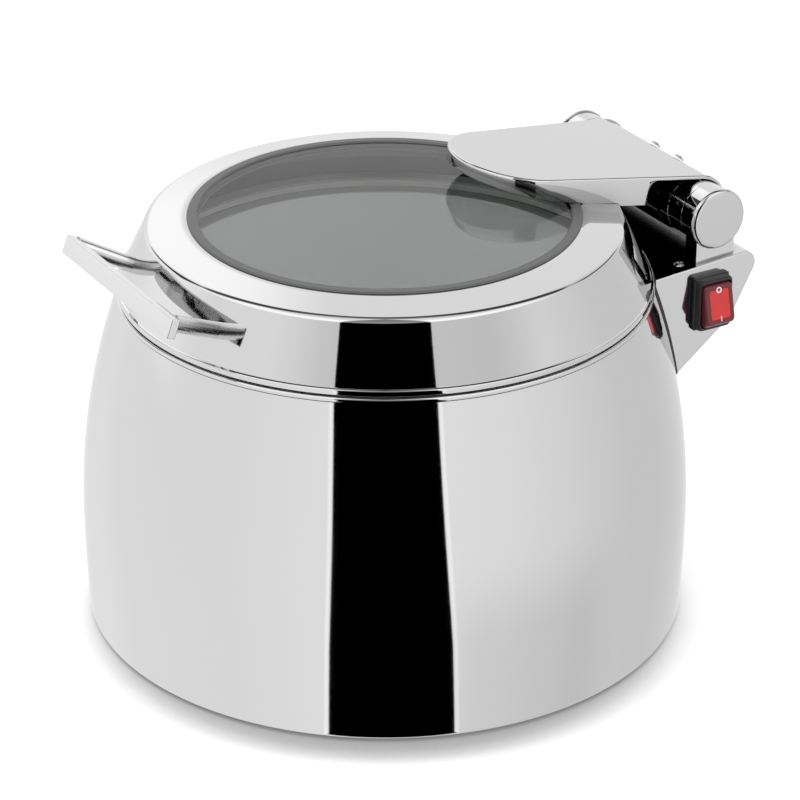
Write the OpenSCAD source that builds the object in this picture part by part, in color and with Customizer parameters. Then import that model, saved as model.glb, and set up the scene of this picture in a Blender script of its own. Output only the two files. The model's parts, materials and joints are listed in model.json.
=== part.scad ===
// Electric soup kettle: a polished steel barrel with a hinged glass-window lid,
// a hinge and control housing at the back, and a lifting handle at the front.
// Frame: millimetres, +Z up, origin on the floor under the kettle's axis,
// handle towards -Y, hinge towards +Y, rocker switch on the +X side.

/* [Body] */
// Radius of the casing at the belly
body_r = 190; // [180:1:205]
// Height of the belly above the floor
belly_h = 65; // [45:1:90]
// How far the bottom of the casing is drawn in from the belly
base_draw = 1.5; // [0.5:0.5:6]
// Radius of the rolled bottom edge
base_edge_r = 2.5; // [2:0.5:10]
// Distance from the heated well's wall out to the casing's top edge
rim_w = 19; // [17:0.5:22]
// Height of the casing's top edge
shell_top_h = 211; // [200:1:225]
// Sheet thickness of casing, base and lid
skin = 1; // [0.8:0.1:1.6]
// Gap between the casing's bottom edge and the floor
foot_gap = 2; // [1.6:0.2:6]
// Width of the bottom flange of the casing
base_flange_w = 18; // [14:1:24]
// Radial width of the rubber foot ring
foot_ring_w = 12; // [8:1:16]
// Radius of the rolled bead on the rim ring
bead_r = 1.7; // [1.2:0.1:2.2]
// Thickness of the rim ring's flat
rim_t = 2; // [1.5:0.1:2.6]

/* [Pans] */
// Outer radius of the heated well
pan_r = 145.5; // [142:0.5:147]
// Height of the well's underside
pan_floor_h = 34; // [32:1:50]
// Sheet thickness of well and soup insert
pan_t = 0.8; // [0.6:0.1:1.2]
// Width of the well's rim flange beyond its wall
pan_flange_w = 6.5; // [5:0.5:7]
// Radial clearance between the soup insert and the well
insert_gap = 3.3; // [2:0.1:6]
// Clearance under the soup insert's floor
insert_floor_gap = 12; // [8:1:20]
// Radius between floor and wall of both pans
pan_corner_r = 14; // [8:1:20]
// Thickness of the insulation jacket
jacket_t = 9; // [6:0.5:10]

/* [Heater] */
// Radius of the tubular element's ring
element_r = 75; // [60:1:85]
// Radius of the element's tube
element_tube_r = 4; // [3:0.5:5]
// Radius of the heat-spreading plate
spreader_r = 105; // [95:1:120]
// Thickness of the heat-spreading plate
spreader_t = 5; // [4:0.5:6]
// Thickness of the clamp bar under the element
clamp_t = 3; // [2:0.5:4]

/* [Lid] */
// Gap between the rim bead and the lid
lid_gap = 1.2; // [0.8:0.1:2]
// Height of the lid from its bottom edge to the flat land round its window
lid_h = 44; // [38:1:52]
// How far the lid's top edge is drawn in from its foot
lid_draw = 17.1; // [14.1:0.2:20.1]
// Height of the straight flange round the lid's foot
flange_h = 3.4; // [2.6:0.2:5]
// How far the lid's wall steps in above the flange
flange_step = 1.6; // [1.2:0.1:2.4]
// Downward slope of the lid's ring from the window to its edge
ring_slope = 9.2; // [7:0.1:11]
// Radius of the lid's top edge fillet
lid_fillet = 5; // [3:0.5:6]
// Distance from the lid's top edge in to the visible window
window_border = 33.9; // [33:0.1:42]
// Width of the window gasket seen from above
gasket_w = 7; // [6.5:0.5:7.5]
// Thickness of the window glass
glass_t = 4; // [3:0.5:6]
// Thickness of the gasket's lips over and under the glass
gasket_lip = 1.1; // [0.8:0.1:1.5]
// Width of the silicone lid seal
seal_w = 5.5; // [4:0.5:6]

/* [Hinge] */
// Distance of the hinge axis behind the casing's top edge
hinge_offset = 28; // [26:0.5:34]
// Depth of the hinge axis below the lid's land
hinge_drop = 16.6; // [15:0.2:17.4]
// Half of the barrel's length, caps included
barrel_half = 80; // [77:1:82]
// Outer radius of the hinge knuckles
knuckle_r = 18.5; // [16:0.5:18.8]
// Length of each knuckle
knuckle_len = 12; // [11:0.5:15]
// Thickness of the end caps
cap_t = 3.5; // [2.5:0.5:4.5]
// How far the end caps stand over the knuckles
cap_over = 1; // [0:0.2:1.4]
// Radius of the hinge shaft
shaft_r = 7; // [5:0.5:8]
// Wall of the hinge bushes
bush_t = 2; // [1.5:0.5:3]
// Length of each damper drum
damper_len = 14; // [10:0.5:16]
// Length of each sleeve collar
collar_len = 10; // [8:0.5:12]
// Wall of the turning sleeve
sleeve_t = 3; // [2:0.5:4]
// Depth of the pedestals under the knuckles, front to back
pedestal_d = 28; // [22:1:32]
// Width of the pedestals
pedestal_w = 12; // [8:0.5:12]

/* [Arm] */
// Outer radius of the arm cover where it wraps the barrel
cover_r = 21; // [20.5:0.1:23]
// Upward tilt of the arm cover towards its front
cover_tilt = 8.2; // [6:0.1:9.5]
// Half width of the cover at the hinge
cover_half_rear = 57; // [54:0.5:58]
// Half width of the cover where its round front begins
cover_half_front = 47.2; // [44:0.2:52]
// Distance from the hinge axis to the start of the round front
cover_straight = 105; // [98:1:112]
// Length of the round front
cover_nose = 38; // [30:0.5:42]
// Distance from the hinge axis to the end of the skirt
skirt_end = 38; // [34:1:44]
// Depth of the skirt beside the lid's ring
skirt_depth = 18; // [16:0.5:19]
// Distance from the hinge axis to where the skirt's lower edge begins to rise
skirt_knee = 65; // [55:1:75]
// Depth of the skirt at the front tip
skirt_tip = 8; // [6:0.5:10]
// Corner radius of the skirt's cut-out
skirt_cut_r = 8; // [5:0.5:10]
// Sheet thickness of the arm cover
cover_t = 1.2; // [1:0.1:1.6]
// Thickness of the arm plate under the cover
arm_t = 3; // [2.5:0.1:3.2]
// Half width of the arm plate
arm_half = 44; // [40:1:45]
// Spacing of the two cover screws
cover_screw_gap = 26; // [20:1:40]

/* [Handle] */
// Length of the handle bar
handle_len = 141; // [132:1:152]
// Height of the handle bar
handle_bar_h = 12; // [10:0.5:15]
// Thickness of the handle bar
handle_bar_t = 5.5; // [4:0.5:7]
// Backward tilt of the bar's face
handle_tilt = 20.5; // [16:0.5:25]
// Distance of the bar's face in front of the casing's top edge
handle_reach = 17; // [14:0.5:24]
// Depth of the bar's middle below the lid's land
handle_drop = 7.2; // [5:0.2:9]
// Radius of the handle posts
post_r = 5; // [4:0.5:5.5]
// Distance from the end of the bar to the middle of a post
post_inset = 5.5; // [5.5:0.5:12]

/* [Housing] */
// Half width of the housing
housing_half = 80; // [79:1:86]
// Distance from the hinge axis to the housing's nose
housing_reach = 29; // [28:0.5:33]
// Height of the housing's top above the casing's top edge, over the rim
housing_rise = 3; // [1:0.5:4]
// Angle at which the housing's top climbs towards its nose
housing_tilt = 4; // [0:0.5:5]
// Slope of the housing's underside
housing_slope = 38; // [36:0.5:42]
// Slope of the housing's back, between the nose and the underside
housing_steep = 62; // [58:1:66]
// Length of the housing's back from the nose to the underside
housing_back = 34; // [30:0.5:36]
// Radius of the bend between the housing's back and its underside
housing_bend_r = 25; // [10:1:40]
// Radius of the housing's nose
housing_nose_r = 8.5; // [6:0.5:10]
// Sheet thickness of the housing
housing_t = 1.2; // [1:0.1:1.6]
// Width of the rubber strip between the housing and the casing
housing_seal_w = 1.6; // [1:0.1:2.5]
// Radius of the cable hole between housing and casing
cable_hole_r = 7; // [6:0.5:8]
// Depth of the cable hole below the casing's top edge
cable_drop = 15; // [13:0.5:18]
// Radius of the cable loom
loom_r = 3; // [2:0.5:3.5]

/* [Switch] */
// Width of the switch frame, front to back
frame_w = 26; // [25.5:0.5:28]
// Height of the switch frame
frame_h = 35.5; // [34.5:0.5:36.5]
// Depth of the switch frame
frame_d = 8; // [7:0.5:9]
// Width of the rocker
rocker_w = 21; // [18:0.5:21]
// Height of the rocker's face
rocker_h = 25; // [22:0.5:25.5]
// Tilt of the rocker when it rests
rocker_tilt = 13; // [8:0.5:15]
// Distance of the switch's middle in front of the hinge axis
switch_setback = 5.5; // [5:0.5:9]
// Depth of the switch's middle below the casing's top edge
switch_drop = 20.5; // [20:0.5:22]
// Depth of the switch block inside the housing
switch_d = 23; // [18:1:28]
// Width of the mains inlet's mouth
inlet_w = 24; // [23:0.5:25]
// Height of the mains inlet's mouth
inlet_h = 16.5; // [16:0.5:18]
// Depth of the mains inlet's mouth
inlet_d = 16; // [14:0.5:18]

/* [Fits] */
// Radial clearance of a running fit
running_fit = 0.05; // [0.02:0.01:0.1]
// Clearance between pieces that are pressed or welded together
seat_fit = 0.05; // [0.02:0.01:0.1]
// Clearance between pieces that move past each other
move_gap = 0.3; // [0.2:0.05:0.5]
// Radius of the small machine screws
screw_r = 2.5; // [2:0.1:3]

/* [Hidden] */
$fn = 128;
arc_steps = 10;
side_steps = 24;
overlap = 1;

base_r = body_r - base_draw;
base_flange_r = base_r - base_edge_r - base_flange_w;
base_plate_h = foot_gap + skin;
base_plate_r = base_flange_r + base_flange_w - 4;
foot_ring_r = base_flange_r - 2;
base_screw_r = base_flange_r + base_flange_w / 2 - 2;
base_screw_head_h = foot_gap - 1;

rim_r = pan_r + rim_w;
rim_bead_r = rim_r + 0.8;
rim_bead_h = shell_top_h + bead_r;
rim_flat_h = shell_top_h + rim_t;
rim_top_h = shell_top_h + 2 * bead_r;
rim_inner_r = pan_r + 1.5;

lid_r = rim_r;
lid_wall_r = lid_r - flange_step;
lid_top_r = lid_r - lid_draw;
window_r = lid_top_r - window_border;
stiffener_gap = 0.7;
stiffener_r = lid_wall_r - skin - stiffener_gap;
seal_r = stiffener_r - 1.5;

cable_h = shell_top_h - cable_drop;
cable_lean = asin((cable_h - belly_h) / arc_rho(shell_top_h - belly_h, body_r - rim_r));
loom_wall_y = body_radius(cable_h) - skin - 7;

pan_flange_r = min(pan_r + pan_flange_w, seal_r - seal_w - 1);
pan_rim_h = rim_flat_h + pan_t;
insert_r = pan_r - pan_t - insert_gap;
insert_floor_h = pan_floor_h + pan_t + insert_floor_gap;
insert_seat_h = pan_rim_h + seat_fit;
insert_rim_h = insert_seat_h + pan_t;
insert_flange_r = pan_flange_r - 1.5;
jacket_r = pan_r + 0.5;
jacket_out_r = min(jacket_r + jacket_t, loom_wall_y - loom_r - 2);
jacket_top_h = shell_top_h - 6;
jacket_floor_h = pan_floor_h + pan_corner_r;

spreader_h = pan_floor_h - spreader_t;
element_h = spreader_h - element_tube_r;
clamp_h = element_h - element_tube_r - clamp_t;
clamp_len = 2 * element_r + 4 * element_tube_r;
clamp_w = 16;
element_gap_deg = 20;
pin_len = 4;
ceramic_h = element_h - element_tube_r - pin_len;
ceramic_t = 6;
ceramic_w = 2 * (element_r * sin(element_gap_deg / 2) + element_tube_r + 2);
ceramic_d = 4 * element_tube_r;
stud_r = 4;
nut_t = 5;
nut_r = 7.5;
thermostat_r = 8;
thermostat_t = 10;
thermostat_x = element_r * 0.5;

lid_bottom_h = rim_top_h + lid_gap;
lid_top_h = lid_bottom_h + lid_h;
lid_flange_h = lid_bottom_h + flange_h;
lid_wall_h = lid_flange_h + flange_step / 2;
gasket_r = window_r + gasket_w;
land_r = gasket_r + 1;
lid_edge_r = lid_top_r - lid_fillet;
lid_edge_h = ring_h(lid_edge_r + lid_fillet * sin(ring_slope)) - lid_fillet * cos(ring_slope);
wall_run = [lid_wall_r - lid_edge_r, lid_edge_h - lid_wall_h];
lid_lean = atan(wall_run[0] / wall_run[1]) - asin(lid_fillet / norm(wall_run));
lid_hole_r = gasket_r - 3;
glass_r = window_r + 2.5;
glass_top_h = lid_top_h + 0.3;
glass_bottom_h = glass_top_h - glass_t;
gasket_top_h = glass_top_h + gasket_lip;
gasket_bottom_h = glass_bottom_h - gasket_lip;
stiffener_h = lid_flange_h - 0.2;
stiffener_t = 1.5;
stiffener_w = 10;

hinge_y = rim_r + hinge_offset;
hinge_h = lid_top_h - hinge_drop;
knuckle_out = barrel_half - cap_t;
knuckle_in = knuckle_out - knuckle_len;
damper_out = knuckle_in - 0.1;
damper_in = damper_out - damper_len;
collar_out = damper_in - move_gap;
collar_in = collar_out - collar_len;
sleeve_half = collar_in - seat_fit;
sleeve_r = cover_r - cover_t - 0.2;
sleeve_bore_r = sleeve_r - sleeve_t;
spigot_len = 6;
shaft_half = knuckle_out - 2;
bush_r = shaft_r + running_fit + bush_t;
damper_r = knuckle_r - 0.2;
cap_r = knuckle_r + cap_over;
cap_chamfer = 0.6;
pedestal_bolt_gap = pedestal_d / 2;
bolt_x = knuckle_in + pedestal_w / 2;
bolt_bite = 9;

housing_top_h = shell_top_h + housing_rise;
housing_y = hinge_y + housing_reach;
housing_front_y = rim_r * 0.6;
tab_t = 2;
tab_setback = 22;
tab_inset = 10;
tab_y = hinge_y - tab_setback;
tab_x = housing_half - tab_inset;
tab_depth = 8;
tab_half = 6;

cover_nose_y = cover_straight + cover_nose;
wrap_tail = 14;
cover_screw_r = 2;
cover_screw_head_r = 4;
cover_screw_head_t = 2;
cover_screw_angle = 45;
arm_front_y = gasket_r + 3;
arm_inset = 2;
arm_drop = 2;
arm_len = (hinge_y - land_r) / cos(ring_slope) - arm_inset;
arm_screws = [[20, 11], [37, 6]];
arm_screw_head_t = 2.5;
arm_screw_head_r = 4.5;

handle_y = rim_r + handle_reach;
handle_h = lid_top_h - handle_drop;
bar_back_y = handle_y - handle_bar_t;
post_spread = atan((handle_len / 2 - post_inset) / bar_back_y);
post_climb = (handle_h - lid_wall_h) * cos(lid_lean)
    - (bar_back_y / cos(post_spread) - lid_wall_r) * sin(lid_lean);
post_foot_r = lid_wall_r - post_climb * sin(lid_lean);
post_foot_h = lid_wall_h + post_climb * cos(lid_lean);
post_len = 2 * (handle_y - post_foot_r);
screw_seat = 1.25 * skin;
post_screw_len = 12;
post_screw_head_r = 4.2;
post_screw_head_t = 2.5;

switch_y = hinge_y - switch_setback;
switch_h = shell_top_h - switch_drop;
switch_cut_w = frame_w - 5;
switch_cut_h = frame_h - 7;
rocker_axle = 5;
rocker_x = housing_half + rocker_axle;
rocker_face = 7.4;
rocker_back = 1;
rocker_sweep_r = norm([rocker_face, rocker_h / 2]);
frame_open_w = rocker_w + 0.8;
frame_open_h = 2 * (rocker_sweep_r + move_gap);
trunnion_r = 1.5;
trunnion_len = 1.6;
trunnion_hole = frame_open_w + 2 * trunnion_len;
inlet_flange_t = 3;
inlet_wall = 1.5;
inlet_back = 5;
blade_len = 9;
blade_t = 2;
blade_w = 4;
blade_gap = 7;

grommet_t = 2;
grommet_lip = 2;
block_w = 40;
block_d = 16;
block_y = hinge_y - 6;
block_h = 30;
lead_r = 1.5;
lead_gap = 6;
lead_h = switch_h + lead_gap / 2;
// The loom leaves the element's terminal, climbs behind the jacket and enters the housing
loom_floor_h = ceramic_h - ceramic_t / 2;
loom_turn = 12;
loom_run = 40;
loom_route = [[0, element_r + ceramic_d / 2, loom_floor_h], [0, element_r + loom_run, loom_floor_h],
    [0, loom_wall_y - 2 * loom_turn, loom_floor_h], [0, loom_wall_y - loom_turn, loom_floor_h + 3],
    [0, loom_wall_y - 3, loom_floor_h + loom_turn], [0, loom_wall_y, loom_floor_h + 3 * loom_turn],
    [0, loom_wall_y, cable_h - 3 * loom_turn], [0, loom_wall_y - 1, cable_h - loom_turn],
    [0, loom_wall_y + 1, cable_h - 4], [0, loom_wall_y + 4, cable_h],
    [0, loom_wall_y + loom_turn, cable_h], [0, block_y, cable_h]];
loom_sides = 8;
ground_stud_r = 2;
ground_stud_len = 9;
ground_x = -45;

steel = "Silver";
dull_steel = "DarkGray";
black = [0.08, 0.08, 0.08];
red = [0.8, 0.1, 0.1];

// Points on an arc round a centre, from one angle to another
function arc(c, r, from, to) =
    [for (i = [0:arc_steps]) let (a = from + (to - from) * i / arc_steps)
        [c[0] + r * cos(a), c[1] + r * sin(a)]];

function reversed(list) = [for (i = [len(list) - 1:-1:0]) list[i]];

// Radius of a shallow arc that is upright at one end and falls back by a sag over a span
function arc_rho(span, sag) = (span * span + sag * sag) / (2 * sag);

// How far such an arc has fallen back at distance d along its span
function arc_drop(d, span, sag) =
    let (rho = arc_rho(span, sag)) rho - sqrt(rho * rho - d * d);

// Outer radius of the casing at height z
function body_radius(z) = z > belly_h
    ? body_r - arc_drop(z - belly_h, shell_top_h - belly_h, body_r - rim_r)
    : body_r - arc_drop(belly_h - z, belly_h - foot_gap, base_draw);

// Side of the casing from its bottom edge to its top edge, moved inwards by a thickness
function body_side(t) =
    let (low = foot_gap + base_edge_r, step = (shell_top_h - low) / side_steps)
    [for (i = [0:side_steps]) [body_radius(low + step * i) - t, low + step * i]];

function base_edge(t) =
    arc([body_radius(foot_gap + base_edge_r) - base_edge_r, foot_gap + base_edge_r],
        base_edge_r - t, -90, 0);

// Outline of the lid from its foot to its window, moved inwards by a thickness
function lid_side(t) = concat(
    [[lid_r - t, lid_bottom_h], [lid_r - t, lid_flange_h - t / 2], [lid_wall_r - t, lid_wall_h - t / 2]],
    arc([lid_edge_r, lid_edge_h], lid_fillet - t, lid_lean, 90 - ring_slope),
    [[land_r, lid_top_h - t], [lid_hole_r, lid_top_h - t]]);

// Height of the lid's ring at a radius: a flat land round the window, then a shallow cone
function ring_h(r) = lid_top_h - max(0, r - land_r) * tan(ring_slope);

// Section of a round pan with a flat flange, from its axis out
function pan_section(r, floor_h, rim_h, flange_r, t) =
    let (c = [r - pan_corner_r, floor_h + pan_corner_r])
    concat([[0, floor_h]], arc(c, pan_corner_r, -90, 0),
        [[r, rim_h - t], [flange_r, rim_h - t], [flange_r, rim_h], [r - t, rim_h]],
        arc(c, pan_corner_r - t, 0, -90), [[0, floor_h + t]]);

// Height of the housing's top at a distance behind the middle of the barrel, lowered by a thickness
function housing_top(y, t = 0) = housing_top_h + (y - rim_r) * tan(housing_tilt) - t / cos(housing_tilt);

// Side view of the housing as [y, z], moved inwards by a thickness: top, nose, back and underside
function housing_side(t) =
    let (nose_y = housing_y - housing_nose_r,
         nose = [nose_y, housing_top(nose_y, housing_nose_r)],
         out = [sin(housing_steep), -cos(housing_steep)],
         down = [-cos(housing_steep), -sin(housing_steep)],
         straight = housing_back - housing_bend_r * tan((housing_steep - housing_slope) / 2),
         bend = nose + (housing_nose_r - housing_bend_r) * out + straight * down,
         under = [sin(housing_slope), -cos(housing_slope)],
         last = bend + (housing_bend_r - t) * under)
    concat([[housing_front_y, housing_top(housing_front_y, t)]],
        arc(nose, housing_nose_r - t, 90 + housing_tilt, housing_steep - 90),
        arc(bend, housing_bend_r - t, housing_steep - 90, housing_slope - 90),
        [[housing_front_y, last[1] - (last[0] - housing_front_y) * tan(housing_slope)]]);

// Plan of the arm cover in its own plane, hinge axis at y = 0, moved inwards by a thickness
function cover_plan(t) = concat([[cover_half_rear - t, 0], [cover_half_front - t, -cover_straight]],
    [for (i = [1:2 * arc_steps - 1]) let (a = -180 * i / (2 * arc_steps))
        [(cover_half_front - t) * cos(a), -cover_straight + (cover_nose - t) * sin(a)]],
    [[t - cover_half_front, -cover_straight], [t - cover_half_rear, 0]]);

// Extrude a [y, z] outline along X, centred
module along_x(length) {
    rotate([90, 0, 90])
        linear_extrude(height = length, center = true)
            children();
}

// Cylinder along X from one x to another, at the origin's y and z
module bar_x(r, from, to) {
    translate([from, 0, 0])
        rotate([0, 90, 0])
            cylinder(r = r, h = to - from);
}

module at_hinge() {
    translate([0, hinge_y, hinge_h])
        children();
}

// Button-head screw pointing down, head above z = 0
module button_screw(r, length, head_r, head_t) {
    translate([0, 0, -length])
        cylinder(r = r, h = length + head_t / 2);
    cylinder(r1 = head_r, r2 = head_r * 0.6, h = head_t);
}

// The space taken by the casing and its rim, grown by a gap
module body_space(gap) {
    top = lid_top_h;
    rotate_extrude()
        polygon(concat([[0, foot_gap + base_edge_r]], body_side(-gap),
            [[rim_bead_r + gap, shell_top_h], [rim_bead_r + gap, top], [0, top]]));
}

// The space taken by the lid, grown by a gap
module lid_space(gap) {
    rotate_extrude()
        polygon(concat([[0, lid_bottom_h]], lid_side(-gap), [[0, lid_top_h + gap]]));
}

module body_shell() {
    color(steel)
        difference() {
            rotate_extrude()
                polygon(concat([[base_flange_r, foot_gap]], base_edge(0), body_side(0),
                    reversed(body_side(skin)), reversed(base_edge(skin)),
                    [[base_flange_r, foot_gap + skin]]));
            cable_axis()
                cylinder(r = cable_hole_r, h = 8 * skin, center = true);
            base_screw_places()
                cylinder(r = screw_r + 0.1, h = 3 * foot_gap, center = true);
        }
}

module rim_ring() {
    color(steel)
        rotate_extrude() {
            translate([rim_inner_r, shell_top_h])
                square([rim_bead_r - bead_r - rim_inner_r, rim_t]);
            translate([rim_bead_r - bead_r, rim_bead_h])
                circle(r = bead_r);
        }
}

module base_screw_places() {
    for (a = [30:60:330])
        rotate([0, 0, a])
            translate([base_screw_r, 0, base_plate_h])
                children();
}

module base_plate() {
    color(dull_steel)
        difference() {
            translate([0, 0, base_plate_h])
                cylinder(r = base_plate_r, h = skin);
            base_screw_places()
                cylinder(r = screw_r + 0.1, h = 4 * skin, center = true);
        }
}

module foot_ring() {
    color(black)
        difference() {
            cylinder(r = foot_ring_r, h = base_plate_h);
            translate([0, 0, -overlap])
                cylinder(r = foot_ring_r - foot_ring_w, h = base_plate_h + 2 * overlap);
        }
}

module base_screws() {
    color(dull_steel)
        base_screw_places()
            translate([0, 0, -skin])
                rotate([180, 0, 0])
                    button_screw(screw_r, 4 * skin, 2 * screw_r, base_screw_head_h);
}

module heated_well() {
    color(dull_steel)
        rotate_extrude()
            polygon(pan_section(pan_r, pan_floor_h, pan_rim_h, pan_flange_r, pan_t));
}

module soup_insert() {
    color(steel)
        rotate_extrude()
            polygon(pan_section(insert_r, insert_floor_h, insert_rim_h, insert_flange_r, pan_t));
}

module insulation_jacket() {
    color("Ivory")
        difference() {
            translate([0, 0, jacket_floor_h])
                cylinder(r = jacket_out_r, h = jacket_top_h - jacket_floor_h);
            translate([0, 0, jacket_floor_h - overlap])
                cylinder(r = jacket_r, h = jacket_top_h);
        }
}

module heat_spreader() {
    color("Gainsboro") {
        translate([0, 0, spreader_h])
            cylinder(r = spreader_r, h = spreader_t);
        translate([0, 0, clamp_h - nut_t - 3])
            cylinder(r = stud_r, h = spreader_h - clamp_h + nut_t + 4);
    }
}

// Element pins stand at both ends of the ring, beside its gap at the back
module heating_element() {
    color("DimGray") {
        translate([0, 0, element_h])
            rotate([0, 0, 90 + element_gap_deg / 2])
                rotate_extrude(angle = 360 - element_gap_deg)
                    translate([element_r, 0])
                        circle(r = element_tube_r);
        for (side = [-1, 1])
            rotate([0, 0, side * element_gap_deg / 2])
                translate([0, element_r, ceramic_h])
                    cylinder(r = element_tube_r * 0.8, h = element_h - ceramic_h);
    }
}

module element_clamp() {
    color(dull_steel)
        difference() {
            translate([-clamp_len / 2, -clamp_w / 2, clamp_h])
                cube([clamp_len, clamp_w, clamp_t]);
            translate([0, 0, clamp_h - overlap])
                cylinder(r = stud_r + 0.2, h = clamp_t + 2 * overlap);
        }
}

module clamp_nut() {
    color(dull_steel)
        difference() {
            translate([0, 0, clamp_h - nut_t])
                cylinder(r = nut_r, h = nut_t, $fn = 6);
            translate([0, 0, clamp_h - nut_t - overlap])
                cylinder(r = stud_r + seat_fit, h = nut_t + 2 * overlap);
        }
}

module element_terminal() {
    color("White")
        translate([-ceramic_w / 2, element_r - ceramic_d / 2, ceramic_h - ceramic_t])
            cube([ceramic_w, ceramic_d, ceramic_t]);
}

// Round snap-action sensor pressed against the heat spreader
module disc_sensor(r, t) {
    translate([0, 0, spreader_h - t])
        cylinder(r = r * 0.8, h = t);
    translate([0, 0, spreader_h - 1.2])
        cylinder(r = r, h = 1.2);
    for (side = [-1, 1])
        translate([side * r * 0.45 - 0.4, -3, spreader_h - t - 6])
            cube([0.8, 6, 6.5]);
}

module thermostat() {
    color("Black")
        translate([thermostat_x, -thermostat_x, 0])
            disc_sensor(thermostat_r, thermostat_t);
}

module thermal_cutout() {
    color("Tan")
        translate([-thermostat_x, -thermostat_x, 0])
            disc_sensor(thermostat_r * 0.85, thermostat_t * 0.8);
}

// A place on the housing's top, with z square to the sheet
module on_housing(x, y) {
    translate([x, y, housing_top(y)])
        rotate([housing_tilt, 0, 0])
            children();
}

module tab_places() {
    for (side = [-1, 1])
        on_housing(side * tab_x, tab_y)
            children();
}

// Bolt places under the pedestals, on the housing's top
module bracket_bolt_places() {
    for (side = [-1, 1], back = [-1, 1])
        on_housing(side * bolt_x, hinge_y + back * pedestal_bolt_gap / 2)
            children();
}

// Bent sheet of the housing before it is cut to the casing
module housing_sheet() {
    difference() {
        along_x(2 * housing_half)
            polygon(housing_side(0));
        along_x(2 * (housing_half - housing_t))
            polygon(housing_side(housing_t));
    }
}

module control_housing() {
    inner = housing_half - housing_t;
    color(steel)
        difference() {
            housing_sheet();
            body_space(housing_seal_w);
            translate([inner - overlap, switch_y - switch_cut_w / 2, switch_h - switch_cut_h / 2])
                cube([housing_t + 2 * overlap, switch_cut_w, switch_cut_h]);
            translate([-housing_half - overlap, switch_y, switch_h])
                inlet_box(housing_t + 2 * overlap, inlet_wall);
            tab_places()
                cylinder(r = screw_r + 0.1, h = 4 * housing_t, center = true);
            bracket_bolt_places()
                cylinder(r = screw_r + 0.1, h = 4 * housing_t, center = true);
        }
}

// Rubber strip that closes the joint between the housing and the casing
module housing_seal() {
    color(black)
        difference() {
            intersection() {
                housing_sheet();
                body_space(housing_seal_w - seat_fit);
            }
            body_space(seat_fit);
        }
}

// Sheet tabs on the casing that carry the housing's top
module housing_tabs() {
    color(dull_steel)
        difference() {
            tab_places()
                translate([-tab_half, housing_front_y - tab_y, -housing_t - tab_t])
                    cube([2 * tab_half, tab_y - housing_front_y + tab_depth, tab_t]);
            body_space(seat_fit);
            tab_places()
                translate([0, 0, -housing_t - tab_t])
                    cylinder(r = screw_r + seat_fit, h = 4 * tab_t, center = true);
        }
}

module housing_screws() {
    color(steel)
        tab_places()
            button_screw(screw_r, housing_t + tab_t, 1.4 * screw_r, 0.5 * screw_r);
}

// Middle of the cable hole, with z pointing out of the casing's wall
module cable_axis() {
    translate([0, body_radius(cable_h) - skin / 2, cable_h])
        rotate([cable_lean - 90, 0, 0])
            children();
}

module cable_grommet() {
    waist = skin / 2 + 0.35;
    color(black)
        cable_axis()
            difference() {
                union() {
                    cylinder(r = cable_hole_r - seat_fit, h = 2 * waist + grommet_lip, center = true);
                    for (side = [-1, 1])
                        translate([0, 0, side * (waist + grommet_lip / 2)])
                            cylinder(r = cable_hole_r + grommet_lip, h = grommet_lip, center = true);
                }
                cylinder(r = cable_hole_r - grommet_t, h = 8 * waist, center = true);
            }
}

// Ring of points round one point of a route that stays in the plane x = 0
function loom_ring(route, i) =
    let (a = route[max(i - 1, 0)],
         b = route[min(i + 1, len(route) - 1)],
         d = (b - a) / norm(b - a),
         n = [0, -d[2], d[1]])
    [for (k = [0:loom_sides - 1]) let (w = 360 * k / loom_sides)
        route[i] + loom_r * (cos(w) * n + sin(w) * [1, 0, 0])];

module cable_loom() {
    rings = len(loom_route);
    points = [for (i = [0:rings - 1]) each loom_ring(loom_route, i)];
    sides = [for (i = [0:rings - 2], k = [0:loom_sides - 1])
        let (a = i * loom_sides + k, b = i * loom_sides + (k + 1) % loom_sides)
        each [[a, a + loom_sides, b], [b, a + loom_sides, b + loom_sides]]];
    last = (rings - 1) * loom_sides;
    start = [for (k = [1:loom_sides - 2]) [0, k, k + 1]];
    end = [for (k = [1:loom_sides - 2]) [last, last + k + 1, last + k]];
    color("DarkOrange")
        polyhedron(points = points, faces = concat(sides, start, end));
}

module terminal_block() {
    floor_h = housing_top(block_y, housing_t) - block_h;
    color("WhiteSmoke")
        along_x(block_w)
            polygon([[block_y, floor_h], [block_y + block_d, floor_h],
                [block_y + block_d, housing_top(block_y + block_d, housing_t)],
                [block_y, housing_top(block_y, housing_t)]]);
}

// Pairs of straight leads between the terminal block and a wall of the housing
module lead_pair(from, to) {
    for (side = [-1, 1])
        translate([0, block_y + 3, lead_h + side * lead_gap / 2])
            bar_x(lead_r, from, to);
}

module switch_leads() {
    color("SaddleBrown")
        lead_pair(block_w / 2, housing_half - switch_d);
}

module inlet_leads() {
    color("RoyalBlue")
        lead_pair(inlet_d + inlet_back - housing_half, -block_w / 2);
}

module ground_stud() {
    color("Goldenrod")
        on_housing(ground_x, hinge_y) {
            translate([0, 0, -housing_t - ground_stud_len])
                cylinder(r = ground_stud_r, h = ground_stud_len);
            translate([0, 0, -housing_t - ground_stud_len / 2])
                cylinder(r = 2 * ground_stud_r, h = ground_stud_r, $fn = 6);
        }
}

// Box of the mains inlet, grown by a wall, starting at the origin's x and centred on its y and z
module inlet_box(depth, wall) {
    translate([0, -inlet_w / 2 - wall, -inlet_h / 2 - wall])
        cube([depth, inlet_w + 2 * wall, inlet_h + 2 * wall]);
}

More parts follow.
